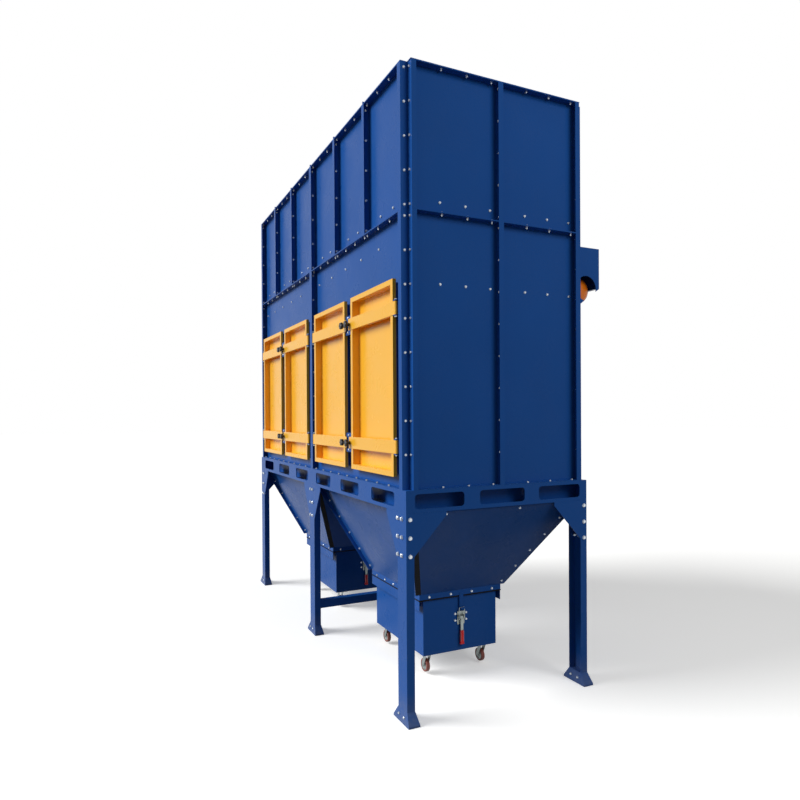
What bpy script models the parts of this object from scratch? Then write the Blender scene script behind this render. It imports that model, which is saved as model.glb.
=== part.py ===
"""Cartridge dust collector: a bolted sheet housing of two bays on legs, with hinged access doors
in front, hoppers below it and a wheeled dust bin clamped under each hopper.

Metres, +Z up. The doors face -Y, the near end is +X and the origin is on the floor, in the middle."""

import math

import bmesh
import bpy
from mathutils import Matrix, Vector

# Housing, over its flanges, from the floor up
LENGTH = 2.950
WIDTH = 1.170
LEG_HEIGHT = 1.060
FRAME_HEIGHT = 0.115
LOWER_HEIGHT = 1.415
UPPER_HEIGHT = 0.750

# Sheet work
SHEET = 0.003
FLANGE = 0.040
CORNER_LIP = 0.035
BAY_LIP = 0.023
JOINT_LIP = 0.017
END_LIP = 0.028
PANELS_PER_BAY = 3
LAP = 0.001
GAP = 0.0003

# Sides of a round piece's faceted form
SMALL_SIDES = 8
AXLE_SIDES = 6
ROUND_SIDES = 12
LARGE_SIDES = 24

# Roof
ROOF_RIB_HEIGHT = 0.014
ROOF_RIB_WIDTH = 0.006

# Base frame
FRAME_WALL = 0.005
FRAME_FLANGE = 0.085
CROSS_WIDTH = 0.070
SLOT_LENGTH = 0.292
SLOT_HEIGHT = 0.075
SLOT_RADIUS = 0.016
END_SLOT_PITCH = 0.3885
END_SLOTS = 3

# Legs
LEG_WIDTH = 0.098
LEG_DEPTH = 0.045
LEG_WALL = 0.005
LEG_CAP = 0.006
GUSSET_REACH = 0.130
GUSSET_DROP = 0.240
GUSSET_EDGE = 0.020
END_GUSSET_REACH = 0.189
END_GUSSET_DROP = 0.220
FOOT_HEIGHT = 0.065
FOOT_PLATE = 0.010
FOOT_FLARE = 0.036
FOOT_FLARE_DEPTH = 0.010
TIE_SIZE = 0.055
TIE_HEIGHT = 0.200

# Access doors, hinged in pairs at their outer edges
DOOR_WIDTH = 0.5785
DOOR_HEIGHT = 1.026
DOOR_RISE = 0.060
DOOR_SPACE = 0.100
DOOR_LIP = 0.028
DOOR_BACK = 0.025
DOOR_DEPTH = 0.020
PAN_FLOOR = 0.0
OPENING_INSET = 0.018
COLLAR_HEIGHT = 0.020
STRAP_HEIGHT = 0.070
STRAP_OFFSET = 0.357
STRAP_END = 0.020
HINGE_OVERHANG = 0.028
HINGE_OUT = 0.040
KNUCKLE_RADIUS = 0.009
PIN_RADIUS = 0.004
BORE_CLEARANCE = 0.0005
EAR_WIDTH = 0.024
EAR_REACH = 0.011
EAR_THICKNESS = 0.005
EAR_CLEARANCE = 0.001
HINGE_BASE = 0.004
PIN_HEAD_RADIUS = 0.007
PIN_HEAD_HEIGHT = 0.005

# Clamp brackets between the doors, and their knobs
CLAMP_HALF_WIDTH = 0.044
CLAMP_HALF_HEIGHT = 0.058
CLAMP_OUT = 0.0375
STUD_OFFSET = 0.036
STUD_RADIUS = 0.004
STUD_TIP = 0.030
CLAMP_HOLE_RADIUS = 0.0055
HUB_RADIUS = 0.010
HUB_LENGTH = 0.0157
KNOB_RADIUS = 0.0225
KNOB_THICKNESS = 0.018
KNOB_LOBES = 6
KNOB_WAIST = 0.16

# Filters
TUBE_SHEET = 0.004
TUBE_SHEET_DROP = 0.120
TUBE_SHEET_FLANGE = 0.040
CARTRIDGE_RADIUS = 0.1625
CARTRIDGE_LENGTH = 0.980
CARTRIDGE_PITCH = 0.350
CARTRIDGE_COLUMNS = 4
CARTRIDGE_ROWS = 3

# Hoppers
HOPPER_END_INSET = 0.012
HOPPER_SIDE_INSET = 0.055
HOPPER_DROP = 0.590
HOPPER_FLANGE = 0.028
MOUTH_LENGTH = 0.675
MOUTH_WIDTH = 0.570
MOUTH_COLLAR = 0.035

# Dust bins
BIN_LENGTH = 0.655
BIN_WIDTH = 0.510
BIN_FLOOR = 0.140
RIM_OVERHANG = 0.007
SKIRT_DROP = 0.060
CASTOR_INSET = 0.060
CASTOR_PLATE = 0.005
CASTOR_PLATE_SIZE = 0.090

# Castors
STUB_RADIUS = 0.006
STUB_CLEARANCE = 0.001
CROWN_RADIUS = 0.022
CROWN_THICKNESS = 0.008
CROWN_GAP = 0.0005
CHEEK_GAP = 0.030
CHEEK_THICKNESS = 0.003
FORK_HALF_LENGTH = 0.0175
FORK_EYE_RADIUS = 0.009
AXLE_RADIUS = 0.004
AXLE_DROP = 0.088
TRAIL = 0.025
WHEEL_RADIUS = 0.040
WHEEL_WIDTH = 0.024
WHEEL_ROUND = 0.003

# Toggle latches, measured out from the bin's face and up from the hopper's mouth
LATCH_PIVOT = (0.014, -0.125)
LOOP_PIVOT = (0.016, -0.143)
LOOP_BAR = (0.01825, -0.0695)
LATCH_BASE_HALF_WIDTH = 0.022
LATCH_BASE_HEIGHT = 0.072
LATCH_EAR_Y = 0.012
LATCH_EAR_REACH = 0.010
LATCH_EAR_HALF_HEIGHT = 0.008
LATCH_PIN_RADIUS = 0.0025
LATCH_BOSS_RADIUS = 0.006
LEVER_WIDTH = 0.018
LEVER_THICKNESS = 0.004
GRIP_WIDTH = 0.022
GRIP_THICKNESS = 0.012
GRIP_LENGTH = 0.078
GRIP_TOP = -0.211
LOOP_HALF_WIDTH = 0.019
LOOP_WIRE_RADIUS = 0.0025
LOOP_CORNER = 0.005
LOOP_CLEARANCE = 0.0003
CATCH_HALF_WIDTH = 0.014
CATCH_REACH = 0.012
CATCH_LIP = 0.007

# Compressed-air header behind the housing
HEADER_RADIUS = 0.075
HEADER_OUT = 0.100
HEADER_DROP = 0.284
HEADER_INSET = 0.170
COVER_REACH = 0.200
COVER_DROP = 0.040
COVER_HEIGHT = 0.240
COVER_INSET = 0.100
COVER_LIP = 0.020
CRADLE_INSET = 0.350
CRADLE_BELOW = 0.110

# Places worked out from the sizes above
KNOB_BASE = DOOR_BACK + DOOR_DEPTH + SHEET + GAP
KNOB_FRONT = KNOB_BASE + HUB_LENGTH + KNOB_THICKNESS
FRONT_REACH = KNOB_FRONT - FLANGE
FRONT_Y = (COVER_REACH - FRONT_REACH - WIDTH) / 2 - COVER_REACH + FRONT_REACH
REAR_Y = FRONT_Y + WIDTH
MID_Y = (FRONT_Y + REAR_Y) / 2
X_END = LENGTH / 2
WALL_X = X_END - FLANGE
BAY = WALL_X
PANEL = BAY / PANELS_PER_BAY
FRAME_TOP = LEG_HEIGHT + FRAME_HEIGHT
JOINT_Z = FRAME_TOP + LOWER_HEIGHT
ROOF_Z = JOINT_Z + UPPER_HEIGHT
END_WALL_LOW = FRONT_Y + FLANGE + SHEET + GAP
END_WALL_HIGH = REAR_Y - FLANGE - SHEET - GAP
DOOR_FACE = DOOR_BACK + DOOR_DEPTH
DOOR_BOTTOM = FRAME_TOP + DOOR_RISE
DOOR_TOP = DOOR_BOTTOM + DOOR_HEIGHT
STRAP_LEVELS = {
    "lower": (DOOR_BOTTOM + DOOR_TOP) / 2 - STRAP_OFFSET,
    "upper": (DOOR_BOTTOM + DOOR_TOP) / 2 + STRAP_OFFSET,
}
HINGE_U = DOOR_SPACE / 2 + DOOR_WIDTH + HINGE_OVERHANG
MOUTH_Z = LEG_HEIGHT - HOPPER_DROP
BIN_TOP = MOUTH_Z - GAP
HEADER_Z = JOINT_Z - HEADER_DROP
BAYS = {"near": BAY / 2, "far": -BAY / 2}
ENDS = {"near": 1, "far": -1}

IDENTITY = Matrix()
FRONT = Matrix(((1, 0, 0, 0), (0, -1, 0, FRONT_Y + FLANGE), (0, 0, 1, 0), (0, 0, 0, 1)))
REAR = Matrix(((1, 0, 0, 0), (0, 1, 0, REAR_Y - FLANGE), (0, 0, 1, 0), (0, 0, 0, 1)))
NEAR = Matrix(((0, 1, 0, WALL_X), (1, 0, 0, 0), (0, 0, 1, 0), (0, 0, 0, 1)))
FAR = Matrix(((0, -1, 0, -WALL_X), (1, 0, 0, 0), (0, 0, 1, 0), (0, 0, 0, 1)))

FINISHES = {
    "blue_powder_coat": ((0.035, 0.105, 0.420), 0.30, 0.0),
    "yellow_powder_coat": ((0.940, 0.430, 0.030), 0.32, 0.0),
    "orange_powder_coat": ((0.800, 0.190, 0.020), 0.35, 0.0),
    "galvanised_steel": ((0.520, 0.530, 0.540), 0.38, 1.0),
    "black_plastic": ((0.012, 0.012, 0.013), 0.40, 0.0),
    "castor_tread": ((0.210, 0.070, 0.045), 0.55, 0.0),
    "filter_media": ((0.780, 0.770, 0.730), 0.85, 0.0),
}


def clear_scene():
    """Leaves nothing of the startup scene, and adds the two collections."""
    for obj in list(bpy.data.objects):
        bpy.data.objects.remove(obj)
    for name in ("cartridge_dust_collector", "cutters"):
        bpy.context.scene.collection.children.link(bpy.data.collections.new(name))


def finish_material(name):
    """The Principled material of one real finish."""
    if name in bpy.data.materials:
        return bpy.data.materials[name]
    colour, roughness, metallic = FINISHES[name]
    material = bpy.data.materials.new(name)
    material.use_nodes = True
    shader = material.node_tree.nodes["Principled BSDF"]
    shader.inputs["Base Color"].default_value = (*colour, 1)
    shader.inputs["Roughness"].default_value = roughness
    shader.inputs["Metallic"].default_value = metallic
    material.diffuse_color = (*colour, 1)
    return material


def helper(bm):
    """A closed shape as an object to cut or join with, on exact micrometres and facing out."""
    for vertex in bm.verts:
        vertex.co = [round(value, 6) for value in vertex.co]
    bmesh.ops.recalc_face_normals(bm, faces=bm.faces)
    if bm.calc_volume(signed=True) < 0:
        bmesh.ops.reverse_faces(bm, faces=bm.faces)
    mesh = bpy.data.meshes.new("helper")
    bm.to_mesh(mesh)
    bm.free()
    obj = bpy.data.objects.new("helper", mesh)
    obj.hide_render = True
    obj.display_type = "WIRE"
    bpy.data.collections["cutters"].objects.link(obj)
    return obj


def applied(obj):
    """The object's evaluated mesh, with the object itself removed."""
    bpy.context.view_layer.update()
    graph = bpy.context.evaluated_depsgraph_get()
    mesh = bpy.data.meshes.new_from_object(obj.evaluated_get(graph))
    bpy.data.objects.remove(obj)
    return mesh


def helper_from(mesh):
    """A helper made from a curve's or a modifier's mesh, with its caps welded on."""
    bm = bmesh.new()
    bm.from_mesh(mesh)
    bmesh.ops.remove_doubles(bm, verts=bm.verts, dist=0.00001)
    bpy.data.meshes.remove(mesh)
    return bm


def axes_matrix(axes):
    """Turns a shape's own X, Y and Z to the three named axes."""
    columns = [[float(letter == name) for letter in "xyz"] for name in axes]
    return Matrix(columns).transposed().to_4x4()


def block(x, y, z, frame=IDENTITY):
    """A box between two limits on each axis of a frame."""
    return tapered((*x, *y), (*x, *y), *z, frame)


def tapered(low, high, z_low, z_high, frame=IDENTITY):
    """A box whose floor and top are unlike rectangles, each (x, x, y, y)."""
    bm = bmesh.new()
    bmesh.ops.create_cube(bm, size=1)
    for vertex in bm.verts:
        x_0, x_1, y_0, y_1 = high if vertex.co.z > 0 else low
        x = x_1 if vertex.co.x > 0 else x_0
        y = y_1 if vertex.co.y > 0 else y_0
        vertex.co = frame @ Vector((x, y, z_high if vertex.co.z > 0 else z_low))
    return helper(bm)


def rod(centre, radius, low, high, axis="z", segments=SMALL_SIDES, frame=IDENTITY):
    """A round bar or hole along one axis. Its centre is on the other two, in the order x, y, z."""
    bm = bmesh.new()
    bmesh.ops.create_cone(
        bm, cap_ends=True, segments=segments, radius1=radius, radius2=radius, depth=high - low
    )
    others = [letter for letter in "xyz" if letter != axis]
    place = Matrix.Translation((*centre, (low + high) / 2))
    bm.transform(frame @ axes_matrix((*others, axis)) @ place)
    return helper(bm)


def extruded(outline, low, high, axes="xyz", frame=IDENTITY):
    """A closed outline in the first two axes, run from low to high along the third."""
    curve = bpy.data.curves.new("outline", "CURVE")
    curve.dimensions = "2D"
    curve.fill_mode = "BOTH"
    curve.extrude = (high - low) / 2
    spline = curve.splines.new("POLY")
    spline.points.add(len(outline) - 1)
    for point, (first, second) in zip(spline.points, outline):
        point.co = (first, second, 0, 1)
    spline.use_cyclic_u = True
    obj = bpy.data.objects.new("outline", curve)
    bpy.data.collections["cutters"].objects.link(obj)
    bm = helper_from(applied(obj))
    bm.transform(frame @ axes_matrix(axes) @ Matrix.Translation((0, 0, (low + high) / 2)))
    return helper(bm)


def wire(points, radius, frame=IDENTITY):
    """A closed loop of round wire through the points."""
    curve = bpy.data.curves.new("wire", "CURVE")
    curve.dimensions = "3D"
    curve.bevel_depth = radius
    curve.bevel_resolution = 1
    spline = curve.splines.new("POLY")
    spline.points.add(len(points) - 1)
    for point, place in zip(spline.points, points):
        point.co = (*place, 1)
    spline.use_cyclic_u = True
    obj = bpy.data.objects.new("wire", curve)
    bpy.data.collections["cutters"].objects.link(obj)
    bm = helper_from(applied(obj))
    bm.transform(frame)
    return helper(bm)


def turned(profile, segments, axes="xyz"):
    """A closed profile of (radius, height) turned about its axis with a Screw."""
    mesh = bpy.data.meshes.new("profile")
    count = len(profile)
    edges = [(index, (index + 1) % count) for index in range(count)]
    mesh.from_pydata([(radius, 0, height) for radius, height in profile], edges, [])
    obj = bpy.data.objects.new("profile", mesh)
    bpy.data.collections["cutters"].objects.link(obj)
    screw = obj.modifiers.new("Screw", "SCREW")
    screw.steps = segments
    screw.render_steps = segments
    screw.use_merge_vertices = True
    screw.merge_threshold = 0.00001
    bm = helper_from(applied(obj))
    bm.transform(axes_matrix(axes))
    return helper(bm)


def bent(points, thickness):
    """The outline of a folded sheet: a line of points, with the metal on its left side."""
    line = [Vector(point) for point in points]
    normals = []
    for start, end in zip(line, line[1:]):
        along = (end - start).normalized()
        normals.append(Vector((-along.y, along.x)))
    inner = [line[0] + normals[0] * thickness]
    for point, before, after in zip(line[1:], normals, normals[1:]):
        inner.append(point + (before + after) * thickness / (1 + before.dot(after)))
    inner.append(line[-1] + normals[-1] * thickness)
    return [tuple(point) for point in line + inner[::-1]]


def tray(low, high, back, tip, low_lip, high_lip):
    """The section of a sheet tray: a floor, two upright flanges and their return lips."""
    points = [
        (low + low_lip, tip),
        (low, tip),
        (low, back),
        (high, back),
        (high, tip),
        (high - high_lip, tip),
    ]
    return bent(points, SHEET)


def rounded_rectangle(centre, length, height, radius, steps=2):
    """An outline with four round corners."""
    outline = []
    for quarter, (side_x, side_y) in enumerate(((1, 1), (-1, 1), (-1, -1), (1, -1))):
        x = centre[0] + side_x * (length / 2 - radius)
        y = centre[1] + side_y * (height / 2 - radius)
        for step in range(steps + 1):
            angle = math.radians(90 * (quarter + step / steps))
            outline.append((x + radius * math.cos(angle), y + radius * math.sin(angle)))
    return outline


def named(name, finish, mesh, location=(0, 0, 0), turn=0):
    """The object of one sub-part, in its finish."""
    obj = bpy.data.objects.new(name, mesh)
    obj.location = location
    obj.rotation_euler.z = turn
    if not mesh.materials:
        mesh.name = name
        mesh.materials.append(finish_material(finish))
        mesh.shade_smooth()
        mesh.set_sharp_from_angle(angle=math.radians(35))
    bpy.data.collections["cartridge_dust_collector"].objects.link(obj)
    return obj


def fused(solids, cutters=(), origin=(0, 0, 0)):
    """One mesh: the solids joined, the cutters taken out, and its origin where it is wanted."""
    base = solids[0]
    sets = []
    for operation, members in (("UNION", solids[1:]), ("DIFFERENCE", cutters)):
        if not members:
            continue
        group = bpy.data.collections.new(operation.lower())
        bpy.data.collections["cutters"].children.link(group)
        for member in members:
            group.objects.link(member)
        modifier = base.modifiers.new(operation, "BOOLEAN")
        modifier.operation = operation
        modifier.operand_type = "COLLECTION"
        modifier.collection = group
        modifier.solver = "EXACT"
        sets.append(group)
    mesh = applied(base)
    for group in sets:
        for member in list(group.objects):
            bpy.data.objects.remove(member)
        bpy.data.collections.remove(group)
    mesh.transform(Matrix.Translation(-Vector(origin)))
    return mesh


def under(child, parent):
    """Parents a piece without moving it."""
    bpy.context.view_layer.update()
    child.parent = parent
    child.matrix_parent_inverse = parent.matrix_world.inverted()


def base_frame():
    """A ring of box sections with slots in their outer faces, and a cross member between the bays."""
    line = [
        (FLANGE - FRAME_FLANGE, LEG_HEIGHT),
        (FLANGE, LEG_HEIGHT),
        (FLANGE, FRAME_TOP),
        (FLANGE - FRAME_FLANGE, FRAME_TOP),
    ]
    section = bent(line, FRAME_WALL)
    solids = []
    cutters = []
    web = (FLANGE - 2 * FRAME_WALL, FLANGE + FRAME_WALL)
    back = (FLANGE - FRAME_FLANGE, FLANGE - FRAME_FLANGE + FRAME_WALL)
    height = (LEG_HEIGHT + LAP, FRAME_TOP - LAP)
    end = X_END - FRAME_FLANGE + FRAME_WALL
    across = (FRONT_Y + FRAME_FLANGE - FRAME_WALL, REAR_Y - FRAME_FLANGE + FRAME_WALL)
    slot_z = LEG_HEIGHT + FRAME_HEIGHT / 2
    for side in (FRONT, REAR):
        solids.append(extruded(section, -X_END, X_END, "yzx", side))
        solids.append(block((-end, end), back, height, side))
        for index in range(2 * PANELS_PER_BAY):
            centre = -WALL_X + (index + 0.5) * PANEL
            outline = rounded_rectangle((centre, slot_z), SLOT_LENGTH, SLOT_HEIGHT, SLOT_RADIUS)
            cutters.append(extruded(outline, *web, "xzy", side))
    for side in (NEAR, FAR):
        solids.append(extruded(section, FRONT_Y, REAR_Y, "yzx", side))
        solids.append(block(across, back, height, side))
        for index in range(END_SLOTS):
            centre = MID_Y + (index - (END_SLOTS - 1) / 2) * END_SLOT_PITCH
            outline = rounded_rectangle((centre, slot_z), SLOT_LENGTH, SLOT_HEIGHT, SLOT_RADIUS)
            cutters.append(extruded(outline, *web, "xzy", side))
    inside = (across[0] + FRAME_WALL / 2, across[1] - FRAME_WALL / 2)
    half = CROSS_WIDTH / 2
    solids.append(block((-FRAME_WALL, FRAME_WALL), inside, (LEG_HEIGHT, FRAME_TOP)))
    for low in (LEG_HEIGHT, FRAME_TOP - FRAME_WALL):
        solids.append(block((-half, half), inside, (low, low + FRAME_WALL)))
    named("base_frame", "blue_powder_coat", fused(solids, cutters))


def foot(frame, low, high):
    """A flared shoe on a flat plate, between two places along the housing."""
    depth = (FLANGE - LEG_DEPTH, FLANGE)
    sole = (
        low - FOOT_FLARE,
        high + FOOT_FLARE,
        depth[0] - FOOT_FLARE_DEPTH,
        depth[1] + FOOT_FLARE_DEPTH,
    )
    return [
        tapered(sole, (low, high, *depth), FOOT_PLATE, FOOT_HEIGHT, frame),
        block(sole[:2], sole[2:], (0, FOOT_PLATE), frame),
    ]


def leg_solids(frame, low, high, outline):
    """A pressed channel whose web carries the gusset, with a cap on top and a foot below."""
    top = LEG_HEIGHT - GAP
    depth = (FLANGE - LEG_DEPTH, FLANGE)
    solids = [extruded(outline, FLANGE - LEG_WALL, FLANGE, "xzy", frame)]
    for edge in (low, high - LEG_WALL):
        solids.append(block((edge, edge + LEG_WALL), depth, (FOOT_PLATE, top), frame))
    solids.append(block((low, high), depth, (top - LEG_CAP, top), frame))
    return solids + foot(frame, low, high)


def corner_leg(name, frame, side):
    """A leg with one gusset along the housing and one across its end."""
    top = LEG_HEIGHT - GAP
    outer = side * X_END
    inner = side * (X_END - LEG_WIDTH)
    tip = side * (X_END - LEG_WIDTH - GUSSET_REACH)
    web = [
        (outer, FOOT_PLATE),
        (outer, top),
        (tip, top),
        (tip, top - GUSSET_EDGE),
        (inner, top - GUSSET_DROP),
        (inner, FOOT_PLATE),
    ]
    solids = leg_solids(frame, min(inner, outer), max(inner, outer), web)
    back = FLANGE - LEG_DEPTH
    gusset = [
        (FLANGE, top - END_GUSSET_DROP),
        (FLANGE, top),
        (back - END_GUSSET_REACH, top),
        (back - END_GUSSET_REACH, top - GUSSET_EDGE),
        (back, top - END_GUSSET_DROP),
    ]
    faces = sorted((outer, outer - side * LEG_WALL))
    solids.append(extruded(gusset, *faces, "yzx", frame))
    named(name, "blue_powder_coat", fused(solids))


def middle_leg_frame():
    """The two middle legs, with gussets both ways, and the tube that ties them near the floor."""
    top = LEG_HEIGHT - GAP
    half = LEG_WIDTH / 2
    web = []
    for side in (1, -1):
        points = [
            (side * half, FOOT_PLATE),
            (side * half, top - GUSSET_DROP),
            (side * (half + GUSSET_REACH), top - GUSSET_EDGE),
            (side * (half + GUSSET_REACH), top),
        ]
        web += points[::side]
    solids = []
    for frame in (FRONT, REAR):
        solids += leg_solids(frame, -half, half, web)
    tie = TIE_SIZE / 2
    ends = (FRONT_Y + LEG_WALL / 2, REAR_Y - LEG_WALL / 2)
    solids.append(block((-tie, tie), ends, (TIE_HEIGHT - tie, TIE_HEIGHT + tie)))
    named("middle_leg_frame", "blue_powder_coat", fused(solids))


def wall_section(frame, edges, lips, bottom, top):
    """Sheet trays side by side, their flanges back to back, between two level flanges."""
    solids = []
    last = len(edges) - 1
    for index in range(last):
        low = edges[index] - (LAP if index else 0)
        high = edges[index + 1] + (LAP if index + 1 < last else 0)
        outline = tray(low, high, -SHEET, FLANGE, lips[index], lips[index + 1])
        solids.append(extruded(outline, bottom, top, "xyz", frame))
    for low in (bottom, top - SHEET):
        solids.append(block((edges[0], edges[-1]), (-SHEET, FLANGE), (low, low + SHEET), frame))
    return solids


def long_walls():
    """The front and rear walls, without the front's lower ones, which carry the doors."""
    edges = [-WALL_X + index * PANEL for index in range(2 * PANELS_PER_BAY + 1)]
    lips = [JOINT_LIP] * len(edges)
    lips[0] = CORNER_LIP
    lips[PANELS_PER_BAY] = BAY_LIP
    lips[-1] = CORNER_LIP
    upper = (JOINT_Z + GAP, ROOF_Z - SHEET - GAP)
    lower = (FRAME_TOP + GAP, JOINT_Z)
    for name, frame, heights in (
        ("front_wall_upper", FRONT, upper),
        ("rear_wall_upper", REAR, upper),
        ("rear_wall_lower", REAR, lower),
    ):
        solids = wall_section(frame, edges, lips, *heights)
        named(name, "blue_powder_coat", fused(solids))


def end_walls():
    """The walls of the two ends, each of two trays joined in the middle."""
    edges = (END_WALL_LOW, MID_Y, END_WALL_HIGH)
    lips = (END_LIP, JOINT_LIP, END_LIP)
    for end, frame in (("near", NEAR), ("far", FAR)):
        for level, heights in (
            ("upper", (JOINT_Z + GAP, ROOF_Z - SHEET - GAP)),
            ("lower", (FRAME_TOP + GAP, JOINT_Z)),
        ):
            solids = wall_section(frame, edges, lips, *heights)
            named(f"{end}_end_wall_{level}", "blue_powder_coat", fused(solids))


def door_edges(bay, side):
    """Both upright edges of a door, the lower first. The side is -1 or 1 from its bay's middle."""
    inner = bay + side * DOOR_SPACE / 2
    return tuple(sorted((inner, inner + side * DOOR_WIDTH)))


def hinge_post(hinge_x, level):
    """Two ears on a base plate, with the pin that a door's knuckle turns on."""
    half = STRAP_HEIGHT / 2 + EAR_CLEARANCE
    end = half + EAR_THICKNESS
    wide = (hinge_x - EAR_WIDTH / 2, hinge_x + EAR_WIDTH / 2)
    solids = [block(wide, (-SHEET / 2, HINGE_BASE), (level - end, level + end), FRONT)]
    for low in (level - end, level + half):
        deep = (-SHEET / 2, HINGE_OUT + EAR_REACH)
        solids.append(block(wide, deep, (low, low + EAR_THICKNESS), FRONT))
    centre = (hinge_x, HINGE_OUT)
    solids.append(rod(centre, PIN_RADIUS, level - end, level + end, frame=FRONT))
    for low in (level - end - PIN_HEAD_HEIGHT, level + end - EAR_THICKNESS / 2):
        head = (low, low + PIN_HEAD_HEIGHT + EAR_THICKNESS / 2)
        solids.append(rod(centre, PIN_HEAD_RADIUS, *head, frame=FRONT))
    return solids


def clamp_bracket(bay, level):
    """A hat-shaped bracket that both doors' studs screw into, and the cutters of its two holes."""
    wide = (bay - CLAMP_HALF_WIDTH, bay + CLAMP_HALF_WIDTH)
    high = CLAMP_HALF_HEIGHT
    outline = bent(
        [
            (-SHEET / 2, level - high),
            (CLAMP_OUT, level - high),
            (CLAMP_OUT, level + high),
            (-SHEET / 2, level + high),
        ],
        SHEET,
    )
    solids = [extruded(outline, *wide, "yzx", FRONT)]
    cutters = []
    for side in (-1, 1):
        centre = (bay + side * STUD_OFFSET, level)
        through = (CLAMP_OUT - 2 * SHEET, CLAMP_OUT + SHEET)
        cutters.append(rod(centre, CLAMP_HOLE_RADIUS, *through, axis="y", frame=FRONT))
    return solids, cutters


def door_wall(bay_name):
    """The front wall below the joint, of one bay: two doorways with collars, hinges and clamps."""
    bay = BAYS[bay_name]
    side = ENDS[bay_name]
    edges = sorted((side * GAP / 2, side * WALL_X))
    lips = (BAY_LIP, CORNER_LIP)[::side]
    solids = wall_section(FRONT, edges, lips, FRAME_TOP + GAP, JOINT_Z)
    cutters = []
    opening_z = (DOOR_BOTTOM + OPENING_INSET, DOOR_TOP - OPENING_INSET)
    for door_side in (-1, 1):
        low, high = door_edges(bay, door_side)
        opening_x = (low + OPENING_INSET, high - OPENING_INSET)
        around_x = (opening_x[0] - SHEET, opening_x[1] + SHEET)
        around_z = (opening_z[0] - SHEET, opening_z[1] + SHEET)
        solids.append(block(around_x, (-SHEET / 2, COLLAR_HEIGHT), around_z, FRONT))
        cutters.append(block(opening_x, (-2 * SHEET, 2 * COLLAR_HEIGHT), opening_z, FRONT))
    for level in STRAP_LEVELS.values():
        for door_side in (-1, 1):
            solids += hinge_post(bay + door_side * HINGE_U, level)
        bracket, holes = clamp_bracket(bay, level)
        solids += bracket
        cutters += holes
    named(f"front_wall_lower_{bay_name}", "blue_powder_coat", fused(solids, cutters))


def border(x, z, deep, width):
    """Four strips round the inside of an upright outline."""
    return [
        block((x[0], x[0] + width), deep, z, FRONT),
        block((x[1] - width, x[1]), deep, z, FRONT),
        block(x, deep, (z[0], z[0] + width), FRONT),
        block(x, deep, (z[1] - width, z[1]), FRONT),
    ]


def door_pan(low, high):
    """A deep pan that sinks into the doorway, and the channel round it that covers the collar."""
    wide = (low, high)
    tall = (DOOR_BOTTOM, DOOR_TOP)
    edge = DOOR_LIP - SHEET
    pan_x = (low + edge, high - edge)
    pan_z = (DOOR_BOTTOM + edge, DOOR_TOP - edge)
    solids = [block(pan_x, (PAN_FLOOR - SHEET, PAN_FLOOR), pan_z, FRONT)]
    solids += border(pan_x, pan_z, (PAN_FLOOR - SHEET, DOOR_FACE), SHEET)
    solids += border(wide, tall, (DOOR_BACK, DOOR_FACE), SHEET)
    solids += border(wide, tall, (DOOR_FACE - SHEET, DOOR_FACE), DOOR_LIP)
    return solids


def access_door(name, bay, side):
    """A sheet pan with two straps that end in hinge knuckles."""
    low, high = door_edges(bay, side)
    hinge_x = bay + side * HINGE_U
    inner_end = bay + side * STRAP_END
    solids = door_pan(low, high)
    cutters = []
    window = (low + DOOR_LIP - SHEET / 2, high - DOOR_LIP + SHEET / 2)
    strap_x = sorted((hinge_x, inner_end))
    front = (DOOR_FACE, DOOR_FACE + SHEET)
    half = STRAP_HEIGHT / 2
    for level in STRAP_LEVELS.values():
        solids.append(block(strap_x, front, (level - half, level + half), FRONT))
        for edge in (level - half, level + half - SHEET):
            deep = (DOOR_BACK, DOOR_FACE + SHEET / 2)
            solids.append(block(window, deep, (edge, edge + SHEET), FRONT))
        centre = (hinge_x, HINGE_OUT)
        heights = (level - half, level + half)
        solids.append(rod(centre, KNUCKLE_RADIUS, *heights, segments=ROUND_SIDES, frame=FRONT))
        bore = (heights[0] - SHEET, heights[1] + SHEET)
        cutters.append(rod(centre, PIN_RADIUS + BORE_CLEARANCE, *bore, frame=FRONT))
        stud = (bay + side * STUD_OFFSET, level)
        hole = (DOOR_FACE - SHEET, DOOR_FACE + 2 * SHEET)
        cutters.append(rod(stud, STUD_RADIUS + BORE_CLEARANCE, *hole, axis="y", frame=FRONT))
    place = FRONT @ Vector((hinge_x, HINGE_OUT, (DOOR_BOTTOM + DOOR_TOP) / 2))
    return named(name, "yellow_powder_coat", fused(solids, cutters, place), place)


def knob_mesh():
    """A lobed head on a round hub, with its stud. Its origin is where the hub meets the strap."""
    steps = 4 * KNOB_LOBES
    outline = []
    for step in range(steps):
        angle = 2 * math.pi * step / steps
        waist = KNOB_WAIST * (1 - math.cos(KNOB_LOBES * angle)) / 2
        radius = KNOB_RADIUS * (1 - waist)
        outline.append((radius * math.cos(angle), radius * math.sin(angle)))
    tip = STUD_TIP - KNOB_BASE
    solids = [
        extruded(outline, -HUB_LENGTH - KNOB_THICKNESS, -HUB_LENGTH, "xzy"),
        rod((0, 0), HUB_RADIUS, -HUB_LENGTH - KNOB_THICKNESS / 2, 0, axis="y"),
        rod((0, 0), STUD_RADIUS, -HUB_LENGTH, -tip, axis="y"),
    ]
    return fused(solids)


def doors_and_knobs():
    """Four doors, counted from the near end, and a knob on each strap's free end."""
    mesh = knob_mesh()
    number = 0
    for bay in BAYS.values():
        for side in (1, -1):
            number += 1
            door = access_door(f"access_door_{number}", bay, side)
            for level_name, level in STRAP_LEVELS.items():
                place = FRONT @ Vector((bay + side * STUD_OFFSET, KNOB_BASE, level))
                knob = named(f"knob_{number}_{level_name}", "black_plastic", mesh, place)
                under(knob, door)


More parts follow.
